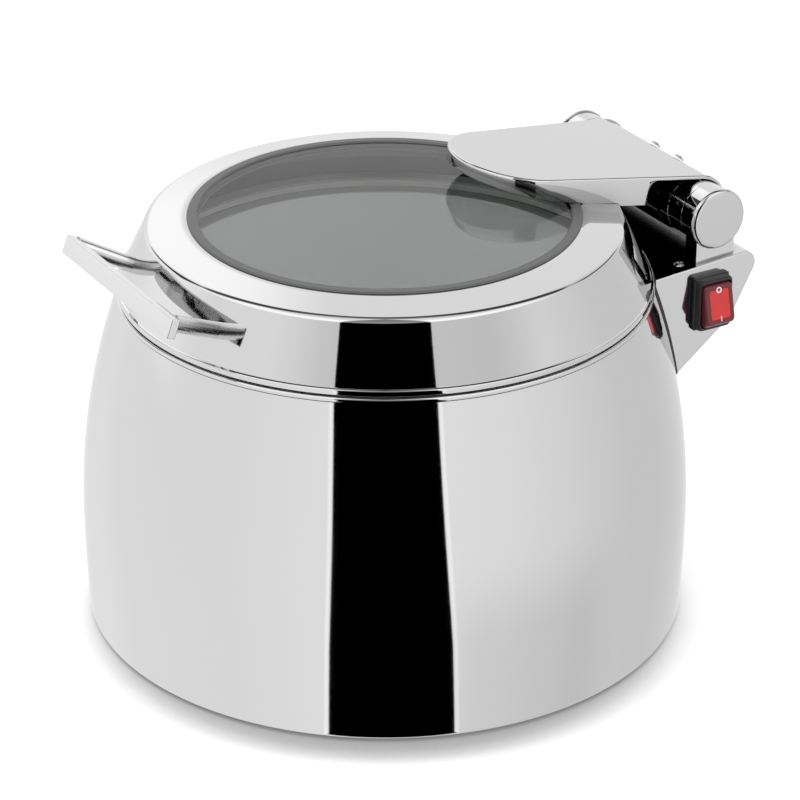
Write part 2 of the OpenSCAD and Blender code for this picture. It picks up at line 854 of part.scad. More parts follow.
module mains_inlet() {
    color(black)
        translate([-housing_half, switch_y, switch_h])
            difference() {
                union() {
                    translate([-inlet_flange_t, 0, 0])
                        inlet_box(inlet_flange_t, inlet_wall + 2);
                    inlet_box(inlet_d + inlet_back, inlet_wall - seat_fit);
                }
                translate([-inlet_flange_t - overlap, 0, 0])
                    inlet_box(inlet_flange_t + inlet_d + overlap, 0);
            }
}

module inlet_blades() {
    color("LightGray")
        translate([inlet_d - housing_half - blade_len, switch_y, switch_h])
            for (i = [-1:1])
                translate([0, i * blade_gap - blade_t / 2, (i == 0 ? 2 : -2) - blade_w / 2])
                    cube([blade_len, blade_t, blade_w]);
}

module switch_block() {
    w = switch_cut_w - 2 * seat_fit;
    h = switch_cut_h - 2 * seat_fit;
    color(black)
        translate([housing_half - switch_d, switch_y - w / 2, switch_h - h / 2])
            cube([switch_d, w, h]);
}

module switch_frame() {
    color(black)
        difference() {
            translate([housing_half, switch_y - frame_w / 2, switch_h - frame_h / 2])
                cube([frame_d, frame_w, frame_h]);
            translate([housing_half - overlap, switch_y - frame_open_w / 2, switch_h - frame_open_h / 2])
                cube([frame_d + 2 * overlap, frame_open_w, frame_open_h]);
            translate([rocker_x, switch_y, switch_h])
                rotate([90, 0, 0])
                    cylinder(r = trunnion_r + running_fit, h = trunnion_hole, center = true);
        }
}

// Fixed knuckle on its pedestal, for the +X side
module hinge_bracket() {
    front = hinge_y - pedestal_d / 2;
    rear = hinge_y + pedestal_d / 2;
    top = hinge_h - bush_r / 2;
    difference() {
        union() {
            at_hinge()
                bar_x(knuckle_r, knuckle_in, knuckle_out);
            translate([bolt_x, 0, 0])
                along_x(pedestal_w)
                    polygon([[front, housing_top(front)], [rear, housing_top(rear)],
                        [rear, top], [front, top]]);
        }
        at_hinge()
            bar_x(bush_r + seat_fit, knuckle_in - overlap, knuckle_out + overlap);
        bracket_bolt_places()
            cylinder(r = screw_r + seat_fit, h = 2 * bolt_bite, center = true);
    }
}

module hinge_bracket_left() {
    color(steel)
        mirror([1, 0, 0])
            hinge_bracket();
}

module hinge_bracket_right() {
    color(steel)
        hinge_bracket();
}

module bracket_bolts() {
    color(dull_steel)
        bracket_bolt_places()
            translate([0, 0, -housing_t])
                rotate([180, 0, 0])
                    button_screw(screw_r, housing_t + bolt_bite - 1, 2 * screw_r, screw_r);
}

module hinge_bushes() {
    color("Peru")
        at_hinge()
            for (side = [0, 1])
                mirror([side, 0, 0])
                    difference() {
                        bar_x(bush_r, knuckle_in, shaft_half);
                        bar_x(shaft_r + running_fit, knuckle_in - overlap, shaft_half + overlap);
                    }
}

module damper() {
    at_hinge()
        difference() {
            bar_x(damper_r, damper_in, damper_out);
            bar_x(shaft_r + running_fit, damper_in - overlap, damper_out + overlap);
        }
}

module damper_left() {
    color(black)
        mirror([1, 0, 0])
            damper();
}

module damper_right() {
    color(black)
        damper();
}

module end_cap() {
    at_hinge() {
        bar_x(bush_r - 0.1, shaft_half + move_gap, knuckle_out + overlap / 2);
        bar_x(cap_r, knuckle_out, barrel_half - cap_chamfer);
        translate([barrel_half - cap_chamfer, 0, 0])
            rotate([0, 90, 0])
                cylinder(r1 = cap_r, r2 = cap_r - cap_chamfer, h = cap_chamfer);
    }
}

module end_cap_left() {
    color(steel)
        mirror([1, 0, 0])
            end_cap();
}

module end_cap_right() {
    color(steel)
        end_cap();
}

// Middle of the handle bar's face, with y pointing through the bar
module handle_frame() {
    translate([0, -handle_y, handle_h])
        rotate([-handle_tilt, 0, 0])
            children();
}

// Foot of each handle post on the lid's wall, with z pointing out along the post
module post_places() {
    for (side = [-1, 1])
        rotate([0, 0, side * post_spread])
            translate([0, -post_foot_r, post_foot_h])
                rotate([90 - lid_lean, 0, 0])
                    children();
}

// Places where screws from inside the lid enter its top, under the arm plate
module arm_screw_places() {
    for (side = [-1, 1], p = arm_screws) {
        place = [side * p[0], arm_front_y + p[1]];
        rotate([0, 0, atan2(place[1], place[0])])
            translate([norm(place), 0, ring_h(norm(place))])
                rotate([0, ring_slope, 0])
                    children();
    }
}

module lid_shell() {
    color(steel)
        difference() {
            rotate_extrude()
                polygon(concat(lid_side(0), reversed(lid_side(skin))));
            post_places()
                cylinder(r = screw_r + 0.1, h = 6 * skin, center = true);
            arm_screw_places()
                cylinder(r = screw_r + 0.1, h = 4 * skin, center = true);
        }
}

module lid_stiffener() {
    color(dull_steel)
        translate([0, 0, stiffener_h])
            difference() {
                cylinder(r = stiffener_r, h = stiffener_t);
                translate([0, 0, -overlap])
                    cylinder(r = stiffener_r - stiffener_w, h = stiffener_t + 2 * overlap);
            }
}

module lid_seal() {
    bottom = rim_flat_h + move_gap;
    color("WhiteSmoke")
        translate([0, 0, bottom])
            difference() {
                cylinder(r = seal_r, h = stiffener_h - bottom);
                translate([0, 0, -overlap])
                    cylinder(r = seal_r - seal_w, h = stiffener_h - bottom + 2 * overlap);
            }
}

// Rubber ring with an outer groove for the lid's sheet and an inner groove for the glass
module window_gasket() {
    f = seat_fit;
    color([0.3, 0.3, 0.31])
        rotate_extrude()
            polygon([[window_r, gasket_bottom_h], [gasket_r, gasket_bottom_h],
                [gasket_r, lid_top_h - skin - f], [lid_hole_r - f, lid_top_h - skin - f],
                [lid_hole_r - f, lid_top_h + f], [gasket_r, lid_top_h + f],
                [gasket_r - gasket_lip, gasket_top_h], [window_r + gasket_lip, gasket_top_h],
                [window_r, glass_top_h + f], [glass_r + f, glass_top_h + f],
                [glass_r + f, glass_bottom_h - f], [window_r, glass_bottom_h - f]]);
}

module window_glass() {
    color([0.8, 0.9, 0.9, 0.4])
        translate([0, 0, glass_bottom_h])
            cylinder(r = glass_r, h = glass_t);
}

module arm_plate() {
    color(dull_steel)
        difference() {
            translate([0, land_r, lid_top_h])
                rotate([-ring_slope, 0, 0])
                    translate([-arm_half, arm_inset, -arm_drop])
                        cube([2 * arm_half, arm_len, arm_t + arm_drop]);
            lid_space(seat_fit);
            at_hinge()
                bar_x(sleeve_r + seat_fit, -barrel_half, barrel_half);
            arm_screw_places()
                cylinder(r = screw_r + seat_fit, h = 4 * arm_t, center = true);
        }
}

module arm_screws() {
    color(dull_steel)
        arm_screw_places()
            translate([0, 0, -screw_seat])
                rotate([180, 0, 0])
                    button_screw(screw_r, skin + arm_t - 0.5, arm_screw_head_r, arm_screw_head_t);
}

module cover_screw_places() {
    at_hinge()
        for (side = [-1, 1])
            translate([side * cover_screw_gap / 2, 0, 0])
                rotate([-cover_screw_angle, 0, 0])
                    children();
}

// Side view of the space under the skirt's rising lower edge, in the cover's own frame
module under_skirt() {
    deep = cover_r - skirt_depth;
    tip = cover_r - skirt_tip;
    beyond = -cover_nose_y - overlap;
    along_x(3 * cover_half_rear)
        polygon([[-skirt_knee, deep - overlap], [-skirt_knee, deep], [-cover_nose_y, tip],
            [beyond, tip], [beyond, deep - overlap]]);
}

// Side view of the skirt's cut-out beside the barrel, in the cover's own frame
module skirt_cut() {
    top = cover_r - cover_t - 0.5;
    along_x(3 * cover_half_rear)
        polygon(concat([[overlap, cover_r - cover_t - skirt_depth], [overlap, top]],
            arc([skirt_cut_r - skirt_end, top - skirt_cut_r], skirt_cut_r, 90, 180),
            [[-skirt_end, cover_r - cover_t - skirt_depth]]));
}

module arm_cover() {
    color(steel)
        difference() {
            union() {
                difference() {
                    at_hinge()
                        rotate([-cover_tilt, 0, 0])
                            difference() {
                                translate([0, 0, cover_r - skirt_depth])
                                    linear_extrude(height = skirt_depth)
                                        polygon(cover_plan(0));
                                translate([0, 0, cover_r - cover_t - skirt_depth])
                                    linear_extrude(height = skirt_depth)
                                        polygon(cover_plan(cover_t));
                                skirt_cut();
                                under_skirt();
                            }
                    lid_space(move_gap);
                    cylinder(r = gasket_r + move_gap, h = gasket_top_h + move_gap);
                }
                at_hinge()
                    rotate([-cover_tilt, 0, 0])
                        intersection() {
                            difference() {
                                bar_x(cover_r, -cover_half_rear, cover_half_rear);
                                bar_x(cover_r - cover_t, -2 * cover_half_rear, 2 * cover_half_rear);
                            }
                            translate([-cover_half_rear, 0, -wrap_tail])
                                cube([2 * cover_half_rear, 2 * cover_r, cover_r + 2 * wrap_tail]);
                        }
            }
            cover_screw_places()
                cylinder(r = cover_screw_r + 0.1, h = 2 * cover_r);
        }
}

module cover_screws() {
    color(steel)
        cover_screw_places()
            translate([0, 0, cover_r])
                button_screw(cover_screw_r, cover_r - sleeve_bore_r, cover_screw_head_r, cover_screw_head_t);
}

module hinge_sleeve() {
    color(dull_steel)
        difference() {
            at_hinge()
                bar_x(sleeve_r, -sleeve_half, sleeve_half);
            at_hinge()
                bar_x(sleeve_bore_r, -sleeve_half - overlap, sleeve_half + overlap);
            cover_screw_places()
                cylinder(r = cover_screw_r + seat_fit, h = 2 * cover_r);
        }
}

module sleeve_collars() {
    color(steel)
        at_hinge()
            for (side = [0, 1])
                mirror([side, 0, 0])
                    difference() {
                        union() {
                            bar_x(knuckle_r, collar_in, collar_out);
                            bar_x(sleeve_bore_r - seat_fit, collar_in - spigot_len, collar_in + overlap);
                        }
                        bar_x(shaft_r + seat_fit, collar_in - 2 * spigot_len, collar_out + overlap);
                    }
}

module hinge_shaft() {
    color(dull_steel)
        at_hinge()
            bar_x(shaft_r, -shaft_half, shaft_half);
}

module handle_bar() {
    color(steel)
        handle_frame()
            translate([-handle_len / 2, 0, -handle_bar_h / 2])
                cube([handle_len, handle_bar_t, handle_bar_h]);
}

// Posts square to the lid's wall, cut to the wall and to the back of the bar
module handle_posts() {
    color(steel)
        difference() {
            post_places()
                translate([0, 0, -post_r])
                    cylinder(r = post_r, h = post_len);
            lid_space(seat_fit);
            handle_frame()
                translate([-handle_len, handle_bar_t + seat_fit - handle_len, -handle_len])
                    cube([2 * handle_len, handle_len, 2 * handle_len]);
            post_places()
                cylinder(r = screw_r + seat_fit, h = 2 * post_screw_len, center = true);
        }
}

// Screws from inside the lid into the posts; each head sits on the lid's inner wall
module handle_screws() {
    color(dull_steel)
        post_places()
            translate([0, 0, -screw_seat])
                rotate([180, 0, 0])
                    button_screw(screw_r, post_screw_len, post_screw_head_r, post_screw_head_t);
}

// Rocker with round ends, a flat face and side trunnions, tipped about its own axle
module rocker() {
    wide = 4 * rocker_sweep_r;
    color(red)
        translate([rocker_x, switch_y, switch_h])
            rotate([0, -rocker_tilt, 0]) {
                difference() {
                    rotate([90, 0, 0])
                        cylinder(r = rocker_sweep_r, h = rocker_w, center = true);
                    translate([rocker_face, -wide / 2, -wide / 2])
                        cube(wide);
                    translate([-rocker_back - wide, -wide / 2, -wide / 2])
                        cube(wide);
                }
                rotate([90, 0, 0])
                    cylinder(r = trunnion_r, h = rocker_w + 2 * trunnion_len, center = true);
            }
}

body_shell();
rim_ring();
base_plate();
foot_ring();
base_screws();
heated_well();
soup_insert();
insulation_jacket();
heat_spreader();
heating_element();
element_clamp();
clamp_nut();
element_terminal();
thermostat();
thermal_cutout();
control_housing();
housing_seal();
housing_tabs();
housing_screws();
cable_grommet();
cable_loom();
terminal_block();
switch_leads();
inlet_leads();
ground_stud();
mains_inlet();
inlet_blades();
switch_block();
switch_frame();
hinge_bracket_left();
hinge_bracket_right();
bracket_bolts();
hinge_bushes();
damper_left();
damper_right();
end_cap_left();
end_cap_right();
lid_shell();
lid_stiffener();
lid_seal();
window_gasket();
window_glass();
arm_plate();
arm_screws();
arm_cover();
cover_screws();
hinge_sleeve();
sleeve_collars();
hinge_shaft();
handle_bar();
handle_posts();
handle_screws();
rocker();
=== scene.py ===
import json
import math

import bmesh
import bpy
from mathutils import Matrix, Vector


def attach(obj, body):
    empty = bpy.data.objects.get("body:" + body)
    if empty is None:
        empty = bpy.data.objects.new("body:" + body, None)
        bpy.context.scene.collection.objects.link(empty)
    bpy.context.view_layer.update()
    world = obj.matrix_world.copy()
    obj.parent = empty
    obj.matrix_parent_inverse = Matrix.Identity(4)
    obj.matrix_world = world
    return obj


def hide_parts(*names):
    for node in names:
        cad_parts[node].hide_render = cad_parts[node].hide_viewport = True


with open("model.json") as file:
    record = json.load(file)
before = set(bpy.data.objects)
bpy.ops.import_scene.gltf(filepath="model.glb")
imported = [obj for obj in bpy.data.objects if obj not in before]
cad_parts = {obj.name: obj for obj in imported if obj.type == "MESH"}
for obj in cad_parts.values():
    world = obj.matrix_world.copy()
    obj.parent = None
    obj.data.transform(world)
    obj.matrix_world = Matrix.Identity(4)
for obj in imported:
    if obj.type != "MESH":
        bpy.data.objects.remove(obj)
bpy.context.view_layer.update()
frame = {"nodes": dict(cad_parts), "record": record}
nodes = frame["nodes"]

# Sizes in millimetres, as in the construction model
MM = 0.001
SKIN = 1.0
MOVE_GAP = 0.3
SEAT = 0.05

# Casing
BODY_R = 190.0
BELLY_H = 65.0
BASE_DRAW = 1.5
BASE_EDGE = 2.5
BASE_FLANGE_R = 168.0
FOOT_GAP = 2.0
SHELL_TOP = 211.0

# Rim and soup insert
RIM_R = 164.5
RIM_T = 2.0
RIM_INNER_R = 147.0
BEAD_R = 1.7
BEAD_OUT_R = 165.3
BEAD_FOOT = 1.5
INSERT_R = 141.4
INSERT_T = 0.8
INSERT_FLOOR = 46.8
INSERT_RIM = 214.65
INSERT_RIM_R = 150.5
INSERT_CORNER = 14.0
INSERT_LIP_IN = 0.2
INSERT_LIP_DROP = 0.7

# Lid
LID_BOTTOM = 215.6
LID_TOP = 259.6
LID_R = 164.5
LID_FLANGE_TOP = 219.0
LID_FLANGE_W = 1.8
LID_FLANGE_ROUND = 1.4
LID_FLANGE_DROP = 0.25
LID_FOOT_IN = 1.6
LID_FOOT_UP = 0.4
LID_WALL_R = 162.9
LID_WALL_H = 219.8
LID_TOP_R = 147.4
LID_FILLET = 5.0
LID_HOLE_R = 117.5
LAND_R = 121.5
LAND_ROUND = 20.0
RING_SLOPE = 9.2

# Window
WINDOW_R = 113.5
GASKET_R = 120.5
GASKET_LIP = 1.1
GASKET_ROUND = 0.9
GLASS_R = 116.0
GLASS_TOP = 259.9
GLASS_T = 4.0
GLASS_EDGE = 0.6

# Hinge
HINGE_Y = 192.5
HINGE_H = 243.0
KNUCKLE_R = 18.5
KNUCKLE_IN = 64.5
KNUCKLE_OUT = 76.5
DRUM_EDGE = 0.5
DAMPER_R = 18.3
DAMPER_IN = 50.4
DAMPER_OUT = 64.4
COLLAR_IN = 40.1
COLLAR_OUT = 50.1
BARREL_HALF = 80.0
CAP_R = 19.5
CAP_EDGE = 3.0
CAP_SPIGOT_R = 17.8
CAP_SPIGOT = 0.6
PEDESTAL_HALF = 14.0
PEDESTAL_TOP = 237.0

# Arm cover
COVER_R = 21.0
COVER_T = 1.2
COVER_TILT = math.radians(8.2)
COVER_EDGE = 2.0
COVER_REAR = 57.0
COVER_FRONT = 47.2
COVER_STRAIGHT = 105.0
COVER_NOSE = 38.0
COVER_TIP = COVER_STRAIGHT + COVER_NOSE
SKIRT_END = 38.0
SKIRT_KNEE = 65.0
SKIRT_DEPTH = 18.0
SKIRT_TIP = 8.0
SKIRT_CUT_R = 8.0
SKIRT_LIP = 0.5
SKIRT_LEAST = 0.05
SKIRT_STEP = 0.001
WRAP_TAIL = 14.0

# Screw heads
COVER_SCREW_X = 13.0
COVER_SCREW_R = 4.0
COVER_SCREW_H = 2.0
COVER_SCREW_TURN = math.radians(45)
HOUSING_SCREW_X = 70.0
HOUSING_SCREW_Y = HINGE_Y - 22.0
HOUSING_SCREW_R = 3.5
HOUSING_SCREW_H = 1.25
SOCKET_SHARE = 3 / 8
SOCKET_FLOOR = 0.35

# Handle
HANDLE_Y = 181.5
HANDLE_H = 252.4
HANDLE_TILT = math.radians(20.5)
HANDLE_LEN = 141.0
HANDLE_BAR_H = 12.0
HANDLE_BAR_T = 5.5
HANDLE_EDGE = 0.7

# Control housing
HOUSING_HALF = 80.0
HOUSING_FRONT_Y = 110.0
HOUSING_Y = 221.5
HOUSING_TOP = 214.0
HOUSING_TILT = math.radians(4)
HOUSING_STEEP = math.radians(62)
HOUSING_SLOPE = math.radians(38)
HOUSING_BACK = 34.0
HOUSING_BEND_R = 25.0
HOUSING_EDGE = 0.9
HOUSING_GAP = 1.6
HOUSING_CUT_LOW = 40
HOUSING_CUT_HIGH = 240.0
HOUSING_CUT_STEP = 4
HOUSING_CUT_BEAD = 209.0
NOSE_R = 8.5

# Switch, and the inlet opposite it
SWITCH_Y = 187.0
SWITCH_H = 190.5
INLET_W = 27.0
INLET_H = 19.5
INLET_DEPTH = 25.0
INLET_PAST = 5.0
INLET_EDGE = 0.01
ROCKER_X = 85.0
ROCKER_TILT = math.radians(13)
ROCKER_FACE = 7.4

# Marks on the rocker
MARK_SUNK = 0.05
MARK_T = 0.2
O_IN_R = 1.1
O_OUT_R = 2.0
O_UP = 9.2
O_EDGE = 0.1
I_HALF = 0.35
I_LOW = -10.8
I_HIGH = -7.4
I_EDGE = 0.05

# Segments of a full turn
TURN_WALL = 320
TURN_RING = 256
TURN_INSIDE = 192
TURN_HINGE = 128
TURN_SCREW = 36
TURN_MARK = 40
TURN_CUT = 360

# Angles in degrees above which an edge is shaded sharp
SHARP = 32.0
SHARP_SHEET = 40.0
SHARP_HOUSING = 25.0

# Studio, in metres apart from the reach of the painted contact shadow
CAMERA_AZ = math.radians(60)
CAMERA_PITCH = math.radians(26.26)
CAMERA_REACH = 1.8476
CAMERA_H = 1.0443
CAMERA_LENS = 148.5
CAMERA_SHIFT = 0.0191
# Level direction away from the camera, along which the floor's painted contact shadow looks for what closes
# it in
PAINTED_SHADOW_DIRECTION = (-math.sin(CAMERA_AZ), math.cos(CAMERA_AZ), 0.0)
PAINTED_SHADOW_REACH = 34.0
PAINTED_SHADOW_LEVEL = 0.42
FLOOR_LIFT = 0.35
FLOOR_HALF = 20.0
TENT_R = 6.0
TENT_H = 0.12
KEY_PLACE = (-1.0, -1.6, 3.2)
KEY_AIM = (0, 0, 0.1)
KEY_SIZE = 2.4
KEY_POWER = 15.0


# Node graphs

class Graph:
    """Short names for the nodes of one material or world."""

    def __init__(self, owner):
        owner.use_nodes = True
        self.tree = owner.node_tree
        self.tree.nodes.clear()

    def add(self, kind, **settings):
        node = self.tree.nodes.new(kind)
        for key, value in settings.items():
            setattr(node, key, value)
        return node

    def put(self, socket, value):
        if isinstance(value, bpy.types.NodeSocket):
            self.tree.links.new(value, socket)
        else:
            socket.default_value = value

    def math(self, operation, a, b=0.0):
        node = self.add("ShaderNodeMath", operation=operation)
        self.put(node.inputs[0], a)
        self.put(node.inputs[1], b)
        return node.outputs[0]

    def plus(self, a, b):
        return self.math("ADD", a, b)

    def minus(self, a, b):
        return self.math("SUBTRACT", a, b)

    def times(self, a, b):
        return self.math("MULTIPLY", a, b)

    def more(self, a, b):
        return self.math("MAXIMUM", a, b)

    def less(self, a, b):
        return self.math("MINIMUM", a, b)

    def size(self, a):
        return self.math("ABSOLUTE", a)

    def blend(self, share, a, b):
        """The first value, giving way to the second as the share rises to one."""
        return self.plus(self.times(a, self.minus(1.0, share)), self.times(b, share))

    def remap(self, kind, *values):
        node = self.add("ShaderNodeMapRange", interpolation_type=kind)
        for socket, value in zip(node.inputs, values):
            self.put(socket, value)
        return node.outputs[0]

    def span(self, value, low, high, to_low, to_high):
        """Smooth step from one level to another, flat beyond both ends."""
        return self.remap("SMOOTHSTEP", value, low, high, to_low, to_high)

    def ramp(self, value, low, high, to_low, to_high):
        """Straight slope from one level to another, flat beyond both ends."""
        return self.remap("LINEAR", value, low, high, to_low, to_high)

    def within(self, value, low, high, soft):
        """One between two values, nothing outside, with soft ends."""
        rise = self.span(value, low - soft, low + soft, 0.0, 1.0)
        fall = self.span(value, high - soft, high + soft, 1.0, 0.0)
        return self.times(rise, fall)

    def mix(self, factor, a, b):
        node = self.add("ShaderNodeMix", data_type="RGBA")
        self.put(node.inputs["Factor"], factor)
        self.put(node.inputs["A"], a)
        self.put(node.inputs["B"], b)
        return node.outputs["Result"]

    def noise(self, scale, detail, stretch=(1, 1, 1)):
        mapping = self.add("ShaderNodeMapping")
        mapping.inputs["Scale"].default_value = stretch
        self.put(mapping.inputs["Vector"], self.add("ShaderNodeTexCoord").outputs["Object"])
        node = self.add("ShaderNodeTexNoise")
        self.put(node.inputs["Vector"], mapping.outputs[0])
        node.inputs["Scale"].default_value = scale
        node.inputs["Detail"].default_value = detail
        return node.outputs["Fac"]

    def openness(self, reach, samples, towards=None):
        """How open a place is within a reach in millimetres, seen along its normal or another direction."""
        node = self.add("ShaderNodeAmbientOcclusion", samples=samples)
        node.inputs["Distance"].default_value = reach * MM
        if towards:
            direction = self.add("ShaderNodeCombineXYZ")
            for socket, share in zip(direction.inputs, towards):
                socket.default_value = share
            self.put(node.inputs["Normal"], direction.outputs[0])
        return node.outputs["AO"]

    def bump(self, height, strength, distance):
        node = self.add("ShaderNodeBump")
        node.inputs["Strength"].default_value = strength
        node.inputs["Distance"].default_value = distance
        self.put(node.inputs["Height"], height)
        return node.outputs[0]

    def output(self, shader, kind="ShaderNodeOutputMaterial"):
        self.put(self.add(kind).inputs["Surface"], shader)


def grey(level):
    return (level, level, level, 1.0)


# Materials

def surface(name, dark, light, rough, metallic=0.0, cloud=6.0, grain=600.0, stretch=(1, 1, 1), bump=0.05,
            crevice=None):
    """Principled material with cloudy colour, uneven roughness and a fine grain.

    A painted shade, given as (reach in mm, open share, colour), darkens the colour of places that are closed
    in."""
    material = bpy.data.materials.new(name)
    g = Graph(material)
    clouds = g.noise(cloud, 4.0)
    fine = g.noise(grain, 2.0, stretch)
    colour = g.mix(clouds, dark, light)
    # Painted shade: the colour goes towards the shade colour where a place is closed in within the reach
    if crevice:
        reach, share, shade_colour = crevice
        colour = g.mix(g.span(g.openness(reach, 12), share * 0.4, share, 0.0, 1.0), shade_colour, colour)
    shader = g.add("ShaderNodeBsdfPrincipled")
    g.put(shader.inputs["Base Color"], colour)
    uneven = g.plus(g.times(fine, 0.35), g.times(clouds, 0.65))
    g.put(shader.inputs["Roughness"], g.span(uneven, 0.3, 0.7, rough[0], rough[1]))
    g.put(shader.inputs["Normal"], g.bump(fine, bump, 0.0002))
    shader.inputs["Metallic"].default_value = metallic
    g.output(shader.outputs[0])
    return material


def metal(name, dark, light, rough, cloud, grain, metallic=1.0, **more):
    """Metal surface between two levels of grey."""
    return surface(name, grey(dark), grey(light), rough, metallic, cloud, grain, **more)


def clear_glass(name):
    """Thin toughened glass: clear, with a faint green body and light wiping marks."""
    material = bpy.data.materials.new(name)
    g = Graph(material)
    smear = g.noise(14.0, 5.0, (1, 3, 1))
    through = g.add("ShaderNodeBsdfTransparent")
    g.put(through.inputs["Color"], g.mix(smear, (0.955, 0.97, 0.962, 1), (0.98, 0.988, 0.984, 1)))
    shine = g.add("ShaderNodeBsdfGlossy")
    g.put(shine.inputs["Roughness"], g.span(smear, 0.3, 0.7, 0.01, 0.05))
    shine.inputs["Color"].default_value = grey(0.9)
    fresnel = g.add("ShaderNodeFresnel")
    fresnel.inputs["IOR"].default_value = 1.45
    front = g.minus(1.0, g.add("ShaderNodeNewGeometry").outputs["Backfacing"])
    blend = g.add("ShaderNodeMixShader")
    g.put(blend.inputs[0], g.times(fresnel.outputs[0], front))
    g.put(blend.inputs[1], through.outputs[0])
    g.put(blend.inputs[2], shine.outputs[0])
    g.output(blend.outputs[0])
    return material


# Painted shade: the polished steel darkens in seams and narrow gaps, within 5 mm
POLISHED = metal("polished steel", 0.60, 0.635, (0.02, 0.045), 3.0, 420.0, bump=0.004,
                 crevice=(5.0, 0.45, grey(0.06)))
# Copy of the polished steel with strong painted shade, near black where closed in within 60 mm, as under and
# round the hinge barrel
SHADED = metal("polished steel with painted shade", 0.60, 0.635, (0.06, 0.1), 3.0, 420.0, bump=0.004,
               crevice=(60.0, 0.58, grey(0.015)))
# Copy of the polished steel painted darker, with painted shade on the cover's skirt and underside; the end
# caps use it too
COVER = metal("polished steel of the cover", 0.553, 0.585, (0.02, 0.045), 3.0, 420.0, bump=0.004,
              crevice=(30.0, 0.95, grey(0.4)))
SATIN = metal("satin steel", 0.78, 0.84, (0.16, 0.24), 8.0, 300.0, stretch=(1, 1, 12), bump=0.01)
# Painted shade darkens the insert where it is closed in, deep inside the pot
BLASTED = metal("blasted steel", 0.82, 0.88, (0.28, 0.36), 8.0, 300.0, stretch=(1, 1, 12), bump=0.01,
                metallic=0.4, crevice=(110.0, 0.75, grey(0.5)))
# Copy of the polished steel painted lighter, so that the handle bar reads brighter
PAINTED_LIGHT_STEEL = metal("polished steel painted lighter", 0.66, 0.7, (0.05, 0.09), 6.0, 420.0, bump=0.004)
BRUSHED = metal("brushed steel", 0.66, 0.72, (0.2, 0.28), 9.0, 500.0, stretch=(1, 12, 1), bump=0.01)
PLAIN = metal("plain steel", 0.36, 0.48, (0.28, 0.42), 20.0, 500.0)
SCREW = metal("screw steel", 0.5, 0.58, (0.15, 0.25), 60.0, 900.0, bump=0.03)
ALUMINIUM = metal("cast aluminium", 0.5, 0.62, (0.35, 0.5), 25.0, 350.0, bump=0.15)
ELEMENT = surface("element sheath", (0.1, 0.09, 0.085, 1), (0.2, 0.18, 0.16, 1), (0.4, 0.55), metallic=1.0,
                  cloud=30.0, grain=400.0)
BRASS = surface("brass", (0.55, 0.4, 0.16, 1), (0.66, 0.5, 0.22, 1), (0.2, 0.32), metallic=1.0,
                cloud=40.0, grain=500.0)
GREY_RUBBER = surface("grey rubber", grey(0.1), grey(0.135), (0.42, 0.58), cloud=30.0, grain=900.0, bump=0.1)
BLACK_RUBBER = surface("black rubber", grey(0.02), grey(0.035), (0.55, 0.7),
                       cloud=30.0, grain=800.0, bump=0.12)
SILICONE = surface("white silicone", (0.7, 0.69, 0.66, 1), (0.8, 0.79, 0.76, 1), (0.4, 0.55),
                   cloud=30.0, grain=500.0)
BLACK = surface("black plastic", grey(0.009), grey(0.017), (0.28, 0.4), cloud=40.0, grain=1600.0, bump=0.12)
RED_DARK = surface("dark red plastic", (0.115, 0.012, 0.018, 1), (0.155, 0.018, 0.024, 1), (0.12, 0.2),
                   cloud=60.0, grain=700.0, bump=0.02)
RED_LENS = surface("bright red lens", (0.6, 0.02, 0.02, 1), (0.72, 0.032, 0.03, 1), (0.1, 0.18),
                   cloud=90.0, grain=700.0, bump=0.02)
MARK = surface("white marking", grey(0.75), grey(0.85), (0.3, 0.4), cloud=200.0, grain=900.0)
CERAMIC = surface("white ceramic", (0.7, 0.68, 0.62, 1), (0.8, 0.78, 0.72, 1), (0.35, 0.5),
                  cloud=50.0, grain=700.0, bump=0.1)
FELT = surface("insulation felt", (0.5, 0.46, 0.34, 1), (0.68, 0.64, 0.5, 1), (0.85, 0.95),
               cloud=60.0, grain=900.0, bump=0.6)
SLEEVE = surface("lead sleeve", (0.4, 0.16, 0.04, 1), (0.52, 0.24, 0.07, 1), (0.45, 0.6),
                 cloud=80.0, grain=900.0, bump=0.2)
GLASS = clear_glass("window glass")

BY_SLOT = {
    "polished_steel": POLISHED, "satin_steel": SATIN, "plain_steel": PLAIN, "black_rubber": BLACK_RUBBER,
    "grey_rubber": GREY_RUBBER, "white_silicone": SILICONE, "clear_glass": GLASS, "aluminium": ALUMINIUM,
    "element_steel": ELEMENT, "white_ceramic": CERAMIC, "black_plastic": BLACK, "red_plastic": RED_DARK,
    "insulation": FELT, "lead_sleeve": SLEEVE, "brass": BRASS,
}
# The hinge sleeve and the arm plate take the steel with painted shade
BY_NODE = {"hinge_sleeve": SHADED, "arm_plate": SHADED, "handle_posts": BRUSHED}
for entry in frame["record"]["subparts"]:
    name = entry["node"]
    materials = nodes[name].data.materials
    materials.clear()
    materials.append(BY_NODE.get(name, BY_SLOT[entry["material_slot"]]))


# Shapes

def arc(centre, r, start, end, steps=12):
    """Points on an arc, angles in degrees."""
    angles = (math.radians(start + (end - start) * i / steps) for i in range(steps + 1))
    return [(centre[0] + r * math.cos(a), centre[1] + r * math.sin(a)) for a in angles]


def rounded(corners, steps):
    """Closed outline with rounded corners from (x, y, radius) entries."""
    points = []
    for i, (x, y, r) in enumerate(corners):
        here = Vector((x, y))
        if r <= 0:
            points.append((x, y))
            continue
        before = Vector(corners[i - 1][:2]) - here
        after = Vector(corners[(i + 1) % len(corners)][:2]) - here
        reach = min(r / math.tan(before.angle(after) / 2), before.length * 0.49, after.length * 0.49)
        a = here + before.normalized() * reach
        b = here + after.normalized() * reach
        for k in range(steps + 1):
            t = k / steps
            p = a * (1 - t) ** 2 + here * (2 * t * (1 - t)) + b * t ** 2
            points.append((p.x, p.y))
    return points


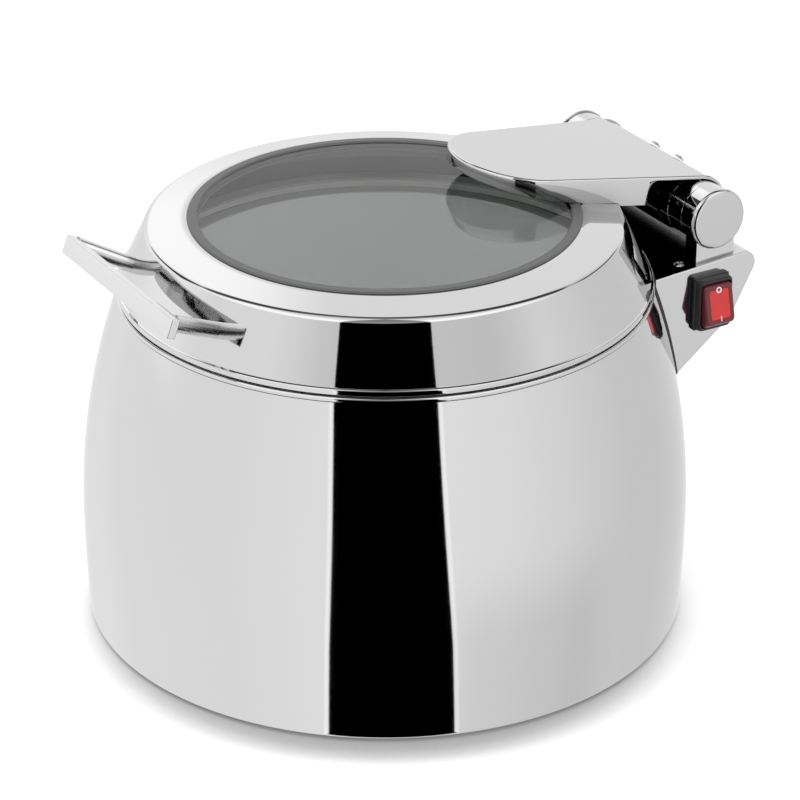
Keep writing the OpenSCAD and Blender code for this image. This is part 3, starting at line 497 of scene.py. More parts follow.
def box_outline(width, height, r):
    w, h = width / 2, height / 2
    return rounded([(-w, -h, r), (w, -h, r), (w, h, r), (-w, h, r)], 6)


def solid_mesh(name, points, faces):
    """Mesh from millimetre points, with doubles merged and its faces turned outwards."""
    mesh = bpy.data.meshes.new(name)
    mesh.from_pydata([Vector(p) * MM for p in points], [], faces)
    work = bmesh.new()
    work.from_mesh(mesh)
    bmesh.ops.remove_doubles(work, verts=work.verts, dist=1e-6)
    bmesh.ops.recalc_face_normals(work, faces=work.faces)
    work.to_mesh(mesh)
    work.free()
    return mesh


dressed = []


def piece(name, points, faces, material, body, stands_for=(), sharp=SHARP):
    """Mesh object in row coordinates, given in millimetres, that rides on a body."""
    mesh = solid_mesh(name, points, faces)
    mesh.shade_smooth()
    mesh.set_sharp_from_angle(angle=math.radians(sharp))
    mesh.materials.append(material)
    obj = bpy.data.objects.new(name, mesh)
    bpy.context.scene.collection.objects.link(obj)
    dressed.append(obj)
    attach(obj, body)
    for node in stands_for:
        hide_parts(node)
    return obj


def spun(outline, turn, frame_of=Matrix.Identity(4)):
    """Points and faces of a closed (radius, height) outline turned about the frame's z axis."""
    points, faces = [], []
    count = len(outline)
    for i in range(turn):
        a = 2 * math.pi * i / turn
        for r, z in outline:
            points.append(frame_of @ Vector((r * math.cos(a), r * math.sin(a), z)))
    for i in range(turn):
        here, there = i * count, (i + 1) % turn * count
        for k in range(count):
            n = (k + 1) % count
            if outline[k][0] > 1e-6 or outline[n][0] > 1e-6:
                faces.append((here + k, there + k, there + n, here + n))
    return points, faces


def joined(*parts):
    """One points and faces pair from several."""
    points, faces = [], []
    for more_points, more_faces in parts:
        start = len(points)
        points += list(more_points)
        faces += [tuple(i + start for i in face) for face in more_faces]
    return points, faces


def stacked(loops, close_start=True):
    """Skin over loops of equal length, one after another, closed at its end."""
    points = [p for loop in loops for p in loop]
    count = len(loops[0])
    faces = []
    for i in range(len(loops) - 1):
        for k in range(count):
            n = (k + 1) % count
            faces.append((i * count + k, i * count + n, (i + 1) * count + n, (i + 1) * count + k))
    if close_start:
        faces.append(tuple(range(count)))
    faces.append(tuple(range((len(loops) - 1) * count, len(loops) * count)))
    return points, faces


def block(low, high, r, steps, frame_of=Matrix.Identity(4)):
    """Box with rounded edges."""
    work = bmesh.new()
    bmesh.ops.create_cube(work, size=1.0)
    size = Vector(high) - Vector(low)
    middle = (Vector(high) + Vector(low)) / 2
    for v in work.verts:
        v.co = Vector(c * s for c, s in zip(v.co, size))
    bmesh.ops.bevel(work, geom=work.edges[:], offset=r, segments=steps, profile=0.5, affect="EDGES")
    work.verts.index_update()
    points = [frame_of @ (v.co + middle) for v in work.verts]
    faces = [tuple(v.index for v in f.verts) for f in work.faces]
    work.free()
    return points, faces


def cut(obj, tool_points, tool_faces):
    """Takes a solid out of a piece for good."""
    tool = bpy.data.objects.new("tool", solid_mesh("tool", tool_points, tool_faces))
    bpy.context.scene.collection.objects.link(tool)
    change = obj.modifiers.new("cut", "BOOLEAN")
    change.object = tool
    change.operation = "DIFFERENCE"
    change.solver = "EXACT"
    bpy.context.view_layer.update()
    result = bpy.data.meshes.new_from_object(obj.evaluated_get(bpy.context.evaluated_depsgraph_get()))
    obj.modifiers.remove(change)
    obj.data = result
    bpy.data.objects.remove(tool)


X_AXIS_AT_HINGE = Matrix.Translation((0, HINGE_Y, HINGE_H)) @ Matrix.Rotation(math.pi / 2, 4, "Y")


def drum(r, start, end):
    """Cylinder along X round the hinge axis with softened edges."""
    outline = rounded([(0, start, 0), (r, start, DRUM_EDGE), (r, end, DRUM_EDGE), (0, end, 0)], 3)
    return spun(outline, TURN_HINGE, X_AXIS_AT_HINGE)


# Casing and rim

def fallen(d, length, sag):
    """How far a circular arc has dropped at a distance, if it drops by a sag over a length."""
    rho = (length * length + sag * sag) / (2 * sag)
    return rho - math.sqrt(rho * rho - d * d)


def body_radius(z):
    """Outer radius of the barrel at a height."""
    if z > BELLY_H:
        return BODY_R - fallen(z - BELLY_H, SHELL_TOP - BELLY_H, BODY_R - RIM_R)
    return BODY_R - fallen(BELLY_H - z, BELLY_H - FOOT_GAP, BASE_DRAW)


def body_side(inset_by):
    """Side of the barrel from low to high, moved inwards."""
    low, count = FOOT_GAP + BASE_EDGE, 72
    heights = [low + (SHELL_TOP - low) * i / count for i in range(count + 1)]
    return [(body_radius(z) - inset_by, z) for z in heights]


edge_centre = (body_radius(FOOT_GAP + BASE_EDGE) - BASE_EDGE, FOOT_GAP + BASE_EDGE)
casing = ([(BASE_FLANGE_R, FOOT_GAP)] + arc(edge_centre, BASE_EDGE, -90, -3) + body_side(0)
          + body_side(SKIN)[::-1] + arc(edge_centre, BASE_EDGE - SKIN, -3, -90)
          + [(BASE_FLANGE_R, FOOT_GAP + SKIN)])
piece("casing", *spun(casing, TURN_WALL), POLISHED, "base", ["body_shell"])

bead = (BEAD_OUT_R - BEAD_R, SHELL_TOP + BEAD_R)
rim = ([(RIM_INNER_R, SHELL_TOP + RIM_T), (RIM_INNER_R, SHELL_TOP)]
       + arc(bead, BEAD_R, -90, 170, 20) + [(bead[0] - BEAD_R - BEAD_FOOT, SHELL_TOP + RIM_T)])
piece("rim", *spun(rim, TURN_RING), POLISHED, "base", ["rim_ring"])

corner_centre = (INSERT_R - INSERT_CORNER, INSERT_FLOOR + INSERT_CORNER)
insert = ([(0, INSERT_FLOOR)] + arc(corner_centre, INSERT_CORNER, -90, 0)
          + [(INSERT_R, INSERT_RIM - INSERT_T), (INSERT_RIM_R, INSERT_RIM - INSERT_T)]
          + [(INSERT_RIM_R, INSERT_RIM), (INSERT_R - INSERT_LIP_IN, INSERT_RIM)]
          + [(INSERT_R - INSERT_T, INSERT_RIM - INSERT_LIP_DROP)]
          + arc(corner_centre, INSERT_CORNER - INSERT_T, 0, -90) + [(0, INSERT_FLOOR + INSERT_T)])
piece("insert", *spun(insert, TURN_INSIDE), BLASTED, "base", ["soup_insert"])


# Lid

def ring_height(r):
    """Height of the lid's ring: a flat land round the window, then a shallow cone."""
    return LID_TOP - max(0.0, r - LAND_R) * math.tan(math.radians(RING_SLOPE))


ring_slope = math.radians(RING_SLOPE)
lid_centre_r = LID_TOP_R - LID_FILLET
ring_end_r = lid_centre_r + LID_FILLET * math.sin(ring_slope)
lid_centre = (lid_centre_r, ring_height(ring_end_r) - LID_FILLET * math.cos(ring_slope))
wall_run = (LID_WALL_R - lid_centre[0], lid_centre[1] - LID_WALL_H)
lean = math.degrees(math.atan2(*wall_run) - math.asin(LID_FILLET / math.hypot(*wall_run)))
flange = rounded([(LID_R - LID_FOOT_IN, LID_BOTTOM, 0), (LID_R, LID_BOTTOM, LID_FLANGE_ROUND),
                  (LID_R, LID_FLANGE_TOP, LID_FLANGE_ROUND),
                  (LID_WALL_R, LID_WALL_H - LID_FLANGE_DROP, 0)], 6)
lid = (flange + [(LID_WALL_R, LID_WALL_H)] + arc(lid_centre, LID_FILLET, lean, 90 - RING_SLOPE, 20)
       + arc((LAND_R, LID_TOP - LAND_ROUND), LAND_ROUND, 90 - RING_SLOPE, 90, 4)
       + [(LID_HOLE_R, LID_TOP), (LID_HOLE_R, LID_TOP - SKIN), (LAND_R, LID_TOP - SKIN)]
       + arc(lid_centre, LID_FILLET - SKIN, 90 - RING_SLOPE, lean, 10)
       + [(LID_WALL_R - SKIN, LID_WALL_H), (LID_R - LID_FLANGE_W, LID_FLANGE_TOP)]
       + [(LID_R - LID_FLANGE_W, LID_BOTTOM + LID_FOOT_UP)])
piece("lid", *spun(lid, TURN_WALL), POLISHED, "lid", ["lid_shell"])

glass_low = GLASS_TOP - GLASS_T
lip_low, lip_high = glass_low - GASKET_LIP, GLASS_TOP + GASKET_LIP
groove_r, pane_r, sheet_low = LID_HOLE_R - SEAT, GLASS_R + SEAT, LID_TOP - SKIN - SEAT
gasket = rounded([(WINDOW_R, lip_low, 0.4), (GASKET_R, lip_low, 0.4), (GASKET_R, sheet_low, 0.2),
                  (groove_r, sheet_low, 0), (groove_r, LID_TOP + SEAT, 0), (GASKET_R, LID_TOP + SEAT, 0.25),
                  (GASKET_R - GASKET_ROUND, lip_high, GASKET_ROUND),
                  (WINDOW_R + GASKET_LIP, lip_high, GASKET_ROUND),
                  (WINDOW_R, GLASS_TOP + SEAT, 0.1), (pane_r, GLASS_TOP + SEAT, 0),
                  (pane_r, glass_low - SEAT, 0), (WINDOW_R, glass_low - SEAT, 0.1)], 5)
piece("gasket", *spun(gasket, TURN_RING), GREY_RUBBER, "lid", ["window_gasket"])
pane = rounded([(0, glass_low, 0), (GLASS_R, glass_low, GLASS_EDGE),
                (GLASS_R, GLASS_TOP, GLASS_EDGE), (0, GLASS_TOP, 0)], 3)
piece("pane", *spun(pane, TURN_INSIDE), GLASS, "lid", ["window_glass"])


# Arm cover: a flat pan with a skirt whose rear edge wraps the hinge

COVER_FRAME = Matrix.Translation((0, HINGE_Y, HINGE_H)) @ Matrix.Rotation(-COVER_TILT, 4, "X")


def lid_height(r):
    """Height of the closed lid with its gasket at a radius, or nothing beyond its wall."""
    if r < GASKET_R + MOVE_GAP:
        return GLASS_TOP + GASKET_LIP
    if r < ring_end_r:
        return ring_height(r)
    if r < LID_TOP_R:
        return lid_centre[1] + math.sqrt(LID_FILLET ** 2 - (r - lid_centre_r) ** 2)
    return 0.0


def skirt_low(x, y):
    """Lower edge of the cover in its own frame, under a point of its outline."""
    lip = COVER_R - COVER_T - SKIRT_LIP
    if y > SKIRT_CUT_R - SKIRT_END:
        return lip
    if y > -SKIRT_END:
        return lip - SKIRT_CUT_R + math.sqrt(max(SKIRT_CUT_R ** 2 - (SKIRT_CUT_R - SKIRT_END - y) ** 2, 0))
    rise = max(0.0, (-y - SKIRT_KNEE) / (COVER_TIP - SKIRT_KNEE))
    z = COVER_R - SKIRT_DEPTH + rise * (SKIRT_DEPTH - SKIRT_TIP)
    for _ in range(6):
        point = COVER_FRAME @ Vector((x, y, z))
        over = lid_height(math.hypot(point.x, point.y)) + MOVE_GAP - point.z
        z += max(0.0, over / math.cos(COVER_TILT))
    return z


def cover_side():
    """Outline of one half of the cover from the hinge to its tip, as (x, y)."""
    taper = (COVER_REAR - COVER_FRONT) / COVER_STRAIGHT
    cut_start = SKIRT_END - SKIRT_CUT_R
    ys = [0.0, -0.4 * cut_start, -0.8 * cut_start, 0.1 - cut_start]
    ys += [-cut_start - SKIRT_CUT_R * math.sin(math.radians(a)) for a in range(10, 90, 10)]
    ys += [SKIRT_STEP - SKIRT_END, -SKIRT_END - SKIRT_STEP]
    ys += [-SKIRT_END - (COVER_STRAIGHT - SKIRT_END) * i / 40 for i in range(1, 41)]
    half = [(COVER_REAR + taper * y, y) for y in ys]
    half += [(COVER_FRONT * math.cos(a), -COVER_STRAIGHT - COVER_NOSE * math.sin(a))
             for a in (math.pi / 2 * i / 28 for i in range(1, 29))]
    return half


def inset(path, distance):
    """An open path moved to its left."""
    moved = []
    for i, p in enumerate(path):
        a, b = Vector(path[max(i - 1, 0)]), Vector(path[min(i + 1, len(path) - 1)])
        d = (b - a).normalized()
        moved.append((p[0] + d.y * distance, p[1] - d.x * distance))
    return moved


def cover_skin():
    """Points and faces of the cover's outer skin: flat top, rounded edge, skirt and hinge wrap."""
    right = cover_side()
    path = right + [(-x, y) for x, y in right[-2::-1]]
    rows = []
    for k in range(7):
        a = math.pi / 2 * k / 6
        rows.append([(x, y, COVER_R - COVER_EDGE * (1 - math.cos(a)))
                     for x, y in inset(path, COVER_EDGE * (1 - math.sin(a)))])
    edge_ends = [row[0] for row in rows]
    rows.append([(x, y, min(skirt_low(x, y), COVER_R - COVER_EDGE - SKIRT_LEAST)) for x, y in path])
    for row in rows:
        row[0] = (row[0][0], 0.0, row[0][2])
        row[-1] = (row[-1][0], 0.0, row[-1][2])
    points = [COVER_FRAME @ Vector(p) for row in rows for p in row]
    count = len(path)
    faces = [tuple(range(count))]
    for i in range(len(rows) - 1):
        here, below = i * count, (i + 1) * count
        faces += [(here + k, here + k + 1, below + k + 1, below + k) for k in range(count - 1)]
    start, steps = len(points), 28
    wrap_end = 90 + math.degrees(math.asin(WRAP_TAIL / COVER_R))
    across = [(x, r) for x, _, r in edge_ends] + [(-x, r) for x, _, r in edge_ends[::-1]]
    for i in range(steps + 1):
        a = math.radians(wrap_end * i / steps)
        points += [COVER_FRAME @ Vector((x, r * math.sin(a), r * math.cos(a))) for x, r in across]
    wide = len(across)
    for i in range(steps):
        for k in range(wide - 1):
            a = start + i * wide + k
            faces.append((a, a + 1, a + wide + 1, a + wide))
    return points, faces


cover = piece("arm_pan", *cover_skin(), COVER, "lid", ["arm_cover"], SHARP_SHEET)
thick = cover.modifiers.new("sheet", "SOLIDIFY")
thick.thickness = COVER_T * MM
thick.offset = -1.0


# Hinge barrel

def housing_top(y, t=0.0):
    """Height of the housing's top, lowered by a thickness."""
    return HOUSING_TOP + (y - RIM_R) * math.tan(HOUSING_TILT) - t / math.cos(HOUSING_TILT)


def on_side_of(side, near, far):
    """A stretch of the hinge axis on one side, from low to high."""
    return (near, far) if side > 0 else (-far, -near)


pedestal_ys = (HINGE_Y - PEDESTAL_HALF, HINGE_Y + PEDESTAL_HALF)
foot = [(y, housing_top(y)) for y in pedestal_ys] + [(y, PEDESTAL_TOP) for y in pedestal_ys[::-1]]
cap = [(0, KNUCKLE_OUT - CAP_SPIGOT), (CAP_SPIGOT_R, KNUCKLE_OUT - CAP_SPIGOT), (CAP_SPIGOT_R, KNUCKLE_OUT),
       (CAP_R, KNUCKLE_OUT)]
cap += arc((CAP_R - CAP_EDGE, BARREL_HALF - CAP_EDGE), CAP_EDGE, 0, 90) + [(0, BARREL_HALF)]
for side, name in ((-1, "left"), (1, "right")):
    knuckle_ends = on_side_of(side, KNUCKLE_IN, KNUCKLE_OUT)
    damper_ends = on_side_of(side, DAMPER_IN, DAMPER_OUT)
    pedestal = stacked([[(x, y, z) for y, z in foot] for x in knuckle_ends])
    cap_here = [(r, side * x) for r, x in cap]
    piece("knuckle_" + name, *drum(KNUCKLE_R, *knuckle_ends), POLISHED, "base", ["hinge_bracket_" + name])
    piece("pedestal_" + name, *pedestal, SHADED, "base")
    piece("drum_" + name, *drum(DAMPER_R, *damper_ends), SHADED, "base", ["damper_" + name])
    piece("cap_" + name, *spun(cap_here, TURN_HINGE, X_AXIS_AT_HINGE), COVER, "base", ["end_cap_" + name])
collars = [drum(KNUCKLE_R, *on_side_of(side, COLLAR_IN, COLLAR_OUT)) for side in (1, -1)]
piece("collars", *joined(*collars), SHADED, "lid", ["sleeve_collars"])


# Screw heads

def dome(place, out, r, h):
    """Button head with a round socket, standing on a place and pointing out."""
    turn = Vector(out).to_track_quat("Z", "Y").to_matrix().to_4x4()
    at = Matrix.Translation(place) @ turn
    sphere_r = (r * r + h * h) / (2 * h)
    reach = math.degrees(math.asin(min(r / sphere_r, 1)))
    crown = arc((0, h - sphere_r), sphere_r, 90 - reach * SOCKET_SHARE, 90 - reach, 5)
    socket = [(0, h * SOCKET_FLOOR), (crown[0][0], h * SOCKET_FLOOR)]
    return spun(socket + crown + [(r, 0), (0, 0)], TURN_SCREW, at)


up_back = (0, math.sin(COVER_SCREW_TURN), math.cos(COVER_SCREW_TURN))
screw_y, screw_h = HINGE_Y + COVER_R * up_back[1], HINGE_H + COVER_R * up_back[2]
heads = [dome((x, screw_y, screw_h), up_back, COVER_SCREW_R, COVER_SCREW_H)
         for x in (-COVER_SCREW_X, COVER_SCREW_X)]
piece("cover_buttons", *joined(*heads), SCREW, "lid", ["cover_screws"])
square_up = (0, -math.sin(HOUSING_TILT), math.cos(HOUSING_TILT))
heads = [dome((x, HOUSING_SCREW_Y, housing_top(HOUSING_SCREW_Y)), square_up, HOUSING_SCREW_R, HOUSING_SCREW_H)
         for x in (-HOUSING_SCREW_X, HOUSING_SCREW_X)]
piece("housing_buttons", *joined(*heads), SCREW, "base", ["housing_screws"])

# Handle

HANDLE_FRAME = Matrix.Translation((0, -HANDLE_Y, HANDLE_H)) @ Matrix.Rotation(-HANDLE_TILT, 4, "X")
bar = block((-HANDLE_LEN / 2, 0, -HANDLE_BAR_H / 2), (HANDLE_LEN / 2, HANDLE_BAR_T, HANDLE_BAR_H / 2),
            HANDLE_EDGE, 3, HANDLE_FRAME)
piece("bar", *bar, PAINTED_LIGHT_STEEL, "lid", ["handle_bar"])


# Control housing: a bent wedge cut to the casing

def wedge_outline(inset_by):
    """Side view of the housing as (y, z): underside, back, nose and top."""
    steep, slope = math.degrees(HOUSING_STEEP) - 90, math.degrees(HOUSING_SLOPE) - 90
    nose = Vector((HOUSING_Y - NOSE_R, housing_top(HOUSING_Y - NOSE_R, NOSE_R)))
    straight = HOUSING_BACK - HOUSING_BEND_R * math.tan((HOUSING_STEEP - HOUSING_SLOPE) / 2)
    out = Vector((math.sin(HOUSING_STEEP), -math.cos(HOUSING_STEEP)))
    down = Vector((-math.cos(HOUSING_STEEP), -math.sin(HOUSING_STEEP)))
    bend_centre = nose + out * (NOSE_R - HOUSING_BEND_R) + down * straight
    bend = arc(bend_centre, HOUSING_BEND_R - inset_by, slope, steep, 8)
    low = bend[0][1] - (bend[0][0] - HOUSING_FRONT_Y) * math.tan(HOUSING_SLOPE)
    return ([(HOUSING_FRONT_Y, low)] + bend
            + arc(nose, NOSE_R - inset_by, steep, 90 + math.degrees(HOUSING_TILT), 24)
            + [(HOUSING_FRONT_Y, housing_top(HOUSING_FRONT_Y, inset_by))])


loops = []
for k in range(4, -1, -1):
    a = math.pi / 2 * k / 4
    x = -HOUSING_HALF + HOUSING_EDGE * (1 - math.sin(a))
    loops.append([(x, y, z) for y, z in wedge_outline(HOUSING_EDGE * (1 - math.cos(a)))])
loops += [[(-x, y, z) for x, y, z in loop] for loop in loops[::-1]]
wedge = piece("housing", *stacked(loops), SHADED, "base", ["control_housing"], SHARP_HOUSING)
beside_r = BEAD_OUT_R + HOUSING_GAP
cut_heights = range(HOUSING_CUT_LOW, int(SHELL_TOP), HOUSING_CUT_STEP)
space = ([(0, HOUSING_CUT_LOW)] + [(body_radius(z) + HOUSING_GAP, z) for z in cut_heights]
         + [(beside_r, HOUSING_CUT_BEAD), (beside_r, HOUSING_CUT_HIGH), (0, HOUSING_CUT_HIGH)])
cut(wedge, *spun(space, TURN_CUT))
inlet_low = (-HOUSING_HALF - INLET_PAST, SWITCH_Y - INLET_W / 2, SWITCH_H - INLET_H / 2)
inlet_high = (-HOUSING_HALF + INLET_DEPTH, SWITCH_Y + INLET_W / 2, SWITCH_H + INLET_H / 2)
cut(wedge, *block(inlet_low, inlet_high, INLET_EDGE, 1))
wedge.data.shade_smooth()
wedge.data.set_sharp_from_angle(angle=math.radians(SHARP_HOUSING))

# Switch: sections given as (width, height, corner radius, distance out)

ROCKER_FRAME = Matrix.Translation((ROCKER_X, SWITCH_Y, SWITCH_H)) @ Matrix.Rotation(-ROCKER_TILT, 4, "Y")
BEZEL_OUTSIDE = [(26.0, 35.5, 2.0, 80.0), (26.0, 35.5, 2.0, 82.2), (25.2, 34.7, 2.0, 82.8),
                 (24.8, 34.2, 3.0, 83.2), (24.4, 33.6, 3.4, 87.0), (23.4, 32.6, 3.4, 87.8),
                 (22.8, 31.8, 3.2, 88.0)]
BEZEL_INSIDE = [(21.8, 29.7, 2.4, 87.8), (21.6, 29.6, 2.4, 87.0), (21.6, 29.6, 2.4, 80.2)]
ROCKER_SECTIONS = [(19.5, 27.4, 2.5, -0.9), (20.8, 28.8, 2.8, 0.2), (20.9, 27.6, 3.0, 3.6),
                   (20.8, 25.6, 3.2, 6.4), (20.0, 24.6, 3.2, 7.2), (19.0, 23.6, 3.0, ROCKER_FACE),
                   (14.6, 19.2, 1.8, ROCKER_FACE), (14.2, 18.8, 1.8, ROCKER_FACE - 0.25)]
LENS_SECTIONS = [(14.2, 18.8, 1.8, ROCKER_FACE - 0.2), (14.2, 18.8, 1.8, ROCKER_FACE - 0.1),
                 (13.4, 18.0, 1.6, ROCKER_FACE + 0.05)]


def on_switch(section):
    """Loop of a section that stays still."""
    w, h, r, x = section
    return [(x, SWITCH_Y + y, SWITCH_H + z) for y, z in box_outline(w, h, r)]


def on_rocker(section):
    """Loop of a section that turns with the rocker."""
    w, h, r, x = section
    return [ROCKER_FRAME @ Vector((x, y, z)) for y, z in box_outline(w, h, r)]


bezel = stacked([on_switch(section) for section in BEZEL_OUTSIDE + BEZEL_INSIDE], close_start=False)
piece("bezel", *bezel, BLACK, "base", ["switch_frame"], SHARP_SHEET)
rocker = stacked([on_rocker(section) for section in ROCKER_SECTIONS])
piece("rocker_cap", *rocker, RED_DARK, "rocker", ["rocker"], SHARP_SHEET)
lens = stacked([on_rocker(section) for section in LENS_SECTIONS])
lens_piece = piece("rocker_lens", *lens, RED_LENS, "rocker", (), SHARP_SHEET)
mark_low = ROCKER_FACE - MARK_SUNK
ring = rounded([(O_IN_R, 0, 0), (O_OUT_R, 0, 0), (O_OUT_R, MARK_T, O_EDGE), (O_IN_R, MARK_T, O_EDGE)], 2)
ring_frame = ROCKER_FRAME @ Matrix.Translation((mark_low, 0, O_UP)) @ Matrix.Rotation(math.pi / 2, 4, "Y")
o_mark = spun(ring, TURN_MARK, ring_frame)
i_mark = block((mark_low, -I_HALF, I_LOW), (mark_low + MARK_T, I_HALF, I_HIGH), I_EDGE, 1, ROCKER_FRAME)
marks = piece("rocker_marks", *joined(o_mark, i_mark), MARK, "rocker", (), SHARP_SHEET)

for obj in dressed:
    even = obj.modifiers.new("even normals", "WEIGHTED_NORMAL")
    even.keep_sharp = True


# Light tent: directions in degrees, azimuth 0 towards the photograph's side and rising to its right

def tent_directions(g):
    """Azimuth, angle from straight behind and elevation of a place on the tent."""
    turned = g.add("ShaderNodeVectorRotate", rotation_type="Z_AXIS")
    g.put(turned.inputs["Vector"], g.add("ShaderNodeTexCoord").outputs["Object"])
    turned.inputs["Angle"].default_value = math.pi / 2 - CAMERA_AZ
    split = g.add("ShaderNodeSeparateXYZ")
    g.put(split.inputs[0], turned.outputs[0])
    x, y, z = split.outputs
    degrees = math.degrees(1)
    az = g.times(g.math("ARCTAN2", y, x), degrees)
    back = g.times(g.math("ARCTAN2", y, g.times(x, -1.0)), degrees)
    el = g.times(g.math("ARCSINE", z), degrees)
    return az, back, el


def tent_walls(g, az, back, el):
    """Brightness of the pale cloth all round."""
    wide = g.size(az)
    level = g.span(az, 45.0, 120.0, 1.08, 0.85)
    level = g.plus(level, g.span(wide, 60.0, 24.0, 0.0, 0.06))
    # Softer cloth beside the slot, which the upper part of the casing shows
    off_middle = g.size(g.minus(az, 12.0))
    level = g.plus(level, g.times(g.span(off_middle, 66.0, 30.0, 0.0, -0.3), g.within(el, 17.0, 29.0, 2.0)))
    # Less light from low on the right and from far left, more from high on the left
    level = g.plus(level, g.times(g.span(el, -14.0, -32.0, 0.0, -0.17), g.within(az, 24.0, 88.0, 14.0)))
    level = g.plus(level, g.times(g.span(el, -6.0, 4.0, 0.0, 0.17), g.span(az, -80.0, -105.0, 0.0, 1.0)))
    level = g.plus(level, g.span(az, -130.0, -158.0, 0.0, -0.15))
    # Bright band over the front
    band = g.times(g.within(el, 32.0, 58.0, 5.0), g.span(wide, 110.0, 80.0, 0.0, 1.0))
    level = g.plus(level, g.times(band, 0.45))
    # Both ends meet behind the object, under a brighter upper part that the lid's ring shows
    level = g.blend(g.span(wide, 158.0, 178.0, 0.0, 1.0), level, 0.97)
    above = g.minus(el, g.span(back, -18.0, -4.0, 15.0, -3.0))
    far = g.times(g.span(wide, 130.0, 155.0, 0.0, 1.0), g.span(above, 0.0, 10.0, 0.0, 1.0))
    return g.blend(far, level, g.span(back, -15.0, -4.0, 1.48, 1.08))


def flag(g, side, el, stretch, low, high):
    """Black flag at one side of the tent that narrows from its bend to its end."""
    start, bend, end = stretch
    under = g.minus(el, g.ramp(side, bend, end, *low))
    over = g.minus(g.ramp(side, bend, end, *high), el)
    tall = g.span(g.less(under, over), -2.0, 2.0, 0.0, 1.0)
    return g.times(g.within(side, start, end, 2.0), tall)


def tent_roof(g, az, el):
    """Share of light kept back by the dark roof behind and by two flags that draw the lid's edge."""
    wide = g.size(az)
    above = g.minus(el, g.span(wide, 108.0, 142.0, 38.0, 47.0))
    roof = g.times(g.span(wide, 92.0, 112.0, 0.0, 0.93), g.span(above, 0.0, 6.0, 0.0, 1.0))
    roof = g.times(roof, g.span(el, 66.0, 80.0, 1.0, 0.7))
    left_flag = flag(g, g.times(az, -1.0), el, (110.0, 124.0, 142.0), (25.0, 16.0), (44.0, 22.0))
    right_flag = flag(g, az, el, (114.0, 116.0, 142.0), (31.0, 19.0), (42.0, 25.0))
    return g.more(roof, g.times(g.more(left_flag, right_flag), 0.95))


def slot_edge(g, el, waist, middle, bow):
    """Azimuth of one bowed edge of the slot."""
    height = g.size(g.minus(g.less(el, 16.0), middle))
    return g.plus(waist, g.times(g.math("POWER", height, 2.0), bow))


def tent_slot(g, az, el):
    """The dark slot, as the light of its bright seams and the share of light that it keeps back."""
    left = g.plus(az, slot_edge(g, el, 18.5, -8.0, 0.0037))
    right = g.minus(slot_edge(g, el, 20.7, 4.0, 0.0038), az)
    nearest = g.less(left, right)
    seam = g.times(g.within(nearest, -1.8, -0.4, 0.25), g.span(el, 14.0, 16.0, 0.2, 0.0))
    tall = g.times(g.span(el, 30.0, 34.0, 1.0, 0.75), g.span(el, -88.0, -80.0, 0.0, 1.0))
    return seam, g.times(g.ramp(nearest, -0.2, 0.2, 0.0, 1.0), tall)


def tent_material():
    """Glowing cloth: pale walls, a dark roof behind and a black slot in front."""
    material = bpy.data.materials.new("tent")
    g = Graph(material)
    az, back, el = tent_directions(g)
    level = g.times(tent_walls(g, az, back, el), g.minus(1.0, tent_roof(g, az, el)))
    seam, slot = tent_slot(g, az, el)
    glow = g.add("ShaderNodeEmission")
    g.put(glow.inputs["Strength"], g.times(g.plus(level, seam), g.minus(1.0, slot)))
    g.output(glow.outputs[0])
    return material


def studio_sphere():
    """Light tent seen only in reflections."""
    mesh = bpy.data.meshes.new("tent")
    work = bmesh.new()
    bmesh.ops.create_uvsphere(work, u_segments=96, v_segments=48, radius=1.0)
    work.to_mesh(mesh)
    work.free()
    mesh.shade_smooth()
    mesh.materials.append(tent_material())
    tent = bpy.data.objects.new("tent", mesh)
    tent.scale = (TENT_R, TENT_R, TENT_R)
    tent.location = (0, 0, TENT_H)
    bpy.context.scene.collection.objects.link(tent)
    tent.visible_camera = False
    tent.visible_diffuse = False
    tent.visible_transmission = False
    tent.visible_volume_scatter = False
    tent.visible_shadow = False
    return tent


# Floor, lamp, world and camera

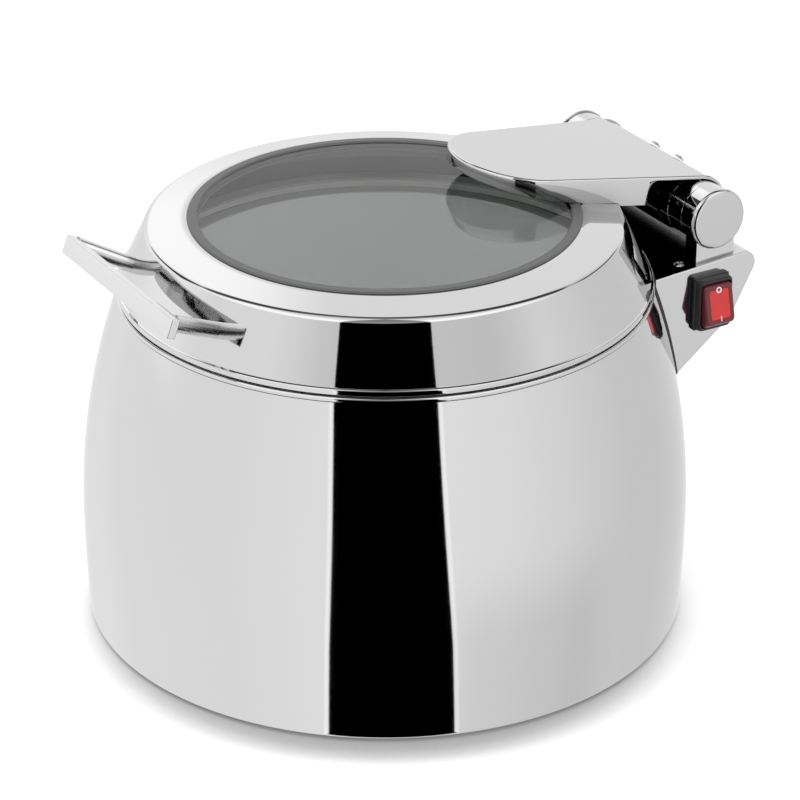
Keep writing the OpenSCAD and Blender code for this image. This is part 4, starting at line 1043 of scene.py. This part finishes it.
def floor_material():
    """Pale floor with a narrow contact shadow painted into its colour where it is closed in; rays that see it
    directly find it lighter, up to white.
    """
    material = bpy.data.materials.new("pale floor")
    g = Graph(material)
    # Painted contact shadow: the floor's colour darkens near the base, most in front of it
    shade = g.span(g.openness(PAINTED_SHADOW_REACH, 16, PAINTED_SHADOW_DIRECTION), 0.5, 0.88, PAINTED_SHADOW_LEVEL, 1.0)
    tone = g.mix(g.noise(2.0, 4.0), grey(0.9), grey(0.93))
    colour = g.mix(shade, grey(0.0), tone)
    matt = g.add("ShaderNodeBsdfDiffuse")
    g.put(matt.inputs["Color"], colour)
    rays = g.add("ShaderNodeLightPath").outputs
    direct = g.more(rays["Is Camera Ray"], g.more(rays["Is Glossy Ray"], rays["Is Transmission Ray"]))
    glow = g.add("ShaderNodeEmission")
    g.put(glow.inputs["Color"], colour)
    g.put(glow.inputs["Strength"], g.times(direct, FLOOR_LIFT))
    both = g.add("ShaderNodeAddShader")
    g.put(both.inputs[0], matt.outputs[0])
    g.put(both.inputs[1], glow.outputs[0])
    g.output(both.outputs[0])
    return material


def floor_plane():
    """Wide flat floor that mirrors do not show."""
    corners = [(-FLOOR_HALF, -FLOOR_HALF, 0), (FLOOR_HALF, -FLOOR_HALF, 0),
               (FLOOR_HALF, FLOOR_HALF, 0), (-FLOOR_HALF, FLOOR_HALF, 0)]
    mesh = bpy.data.meshes.new("floor")
    mesh.from_pydata(corners, [], [(0, 1, 2, 3)])
    mesh.materials.append(floor_material())
    plane = bpy.data.objects.new("floor", mesh)
    bpy.context.scene.collection.objects.link(plane)
    plane.visible_glossy = False
    return plane


def soft_light(name, place, aim, size, power):
    """Round lamp that points at a place and that mirrors do not show."""
    light = bpy.data.lights.new(name, "AREA")
    light.shape = "DISK"
    light.size = size
    light.energy = power
    obj = bpy.data.objects.new(name, light)
    obj.location = place
    obj.rotation_euler = (Vector(aim) - Vector(place)).to_track_quat("-Z", "Y").to_euler()
    bpy.context.scene.collection.objects.link(obj)
    obj.visible_glossy = False
    return obj


studio_sphere()
floor_plane()
soft_light("key", KEY_PLACE, KEY_AIM, KEY_SIZE, KEY_POWER)

world = bpy.data.worlds.new("studio")
bpy.context.scene.world = world
world_graph = Graph(world)
sky = world_graph.add("ShaderNodeBackground")
sky.inputs["Color"].default_value = grey(1.0)
sky.inputs["Strength"].default_value = 1.0
world_graph.output(sky.outputs[0], "ShaderNodeOutputWorld")

camera_data = bpy.data.cameras.new("camera")
camera_data.lens = CAMERA_LENS
camera_data.sensor_width = 36.0
camera_data.shift_x = CAMERA_SHIFT
camera_data.clip_end = 100.0
camera = bpy.data.objects.new("camera", camera_data)
camera.location = (CAMERA_REACH * math.sin(CAMERA_AZ), -CAMERA_REACH * math.cos(CAMERA_AZ), CAMERA_H)
camera.rotation_euler = (math.pi / 2 - CAMERA_PITCH, 0, CAMERA_AZ)
bpy.context.scene.collection.objects.link(camera)
bpy.context.scene.camera = camera
bpy.context.scene.view_settings.view_transform = "Standard"
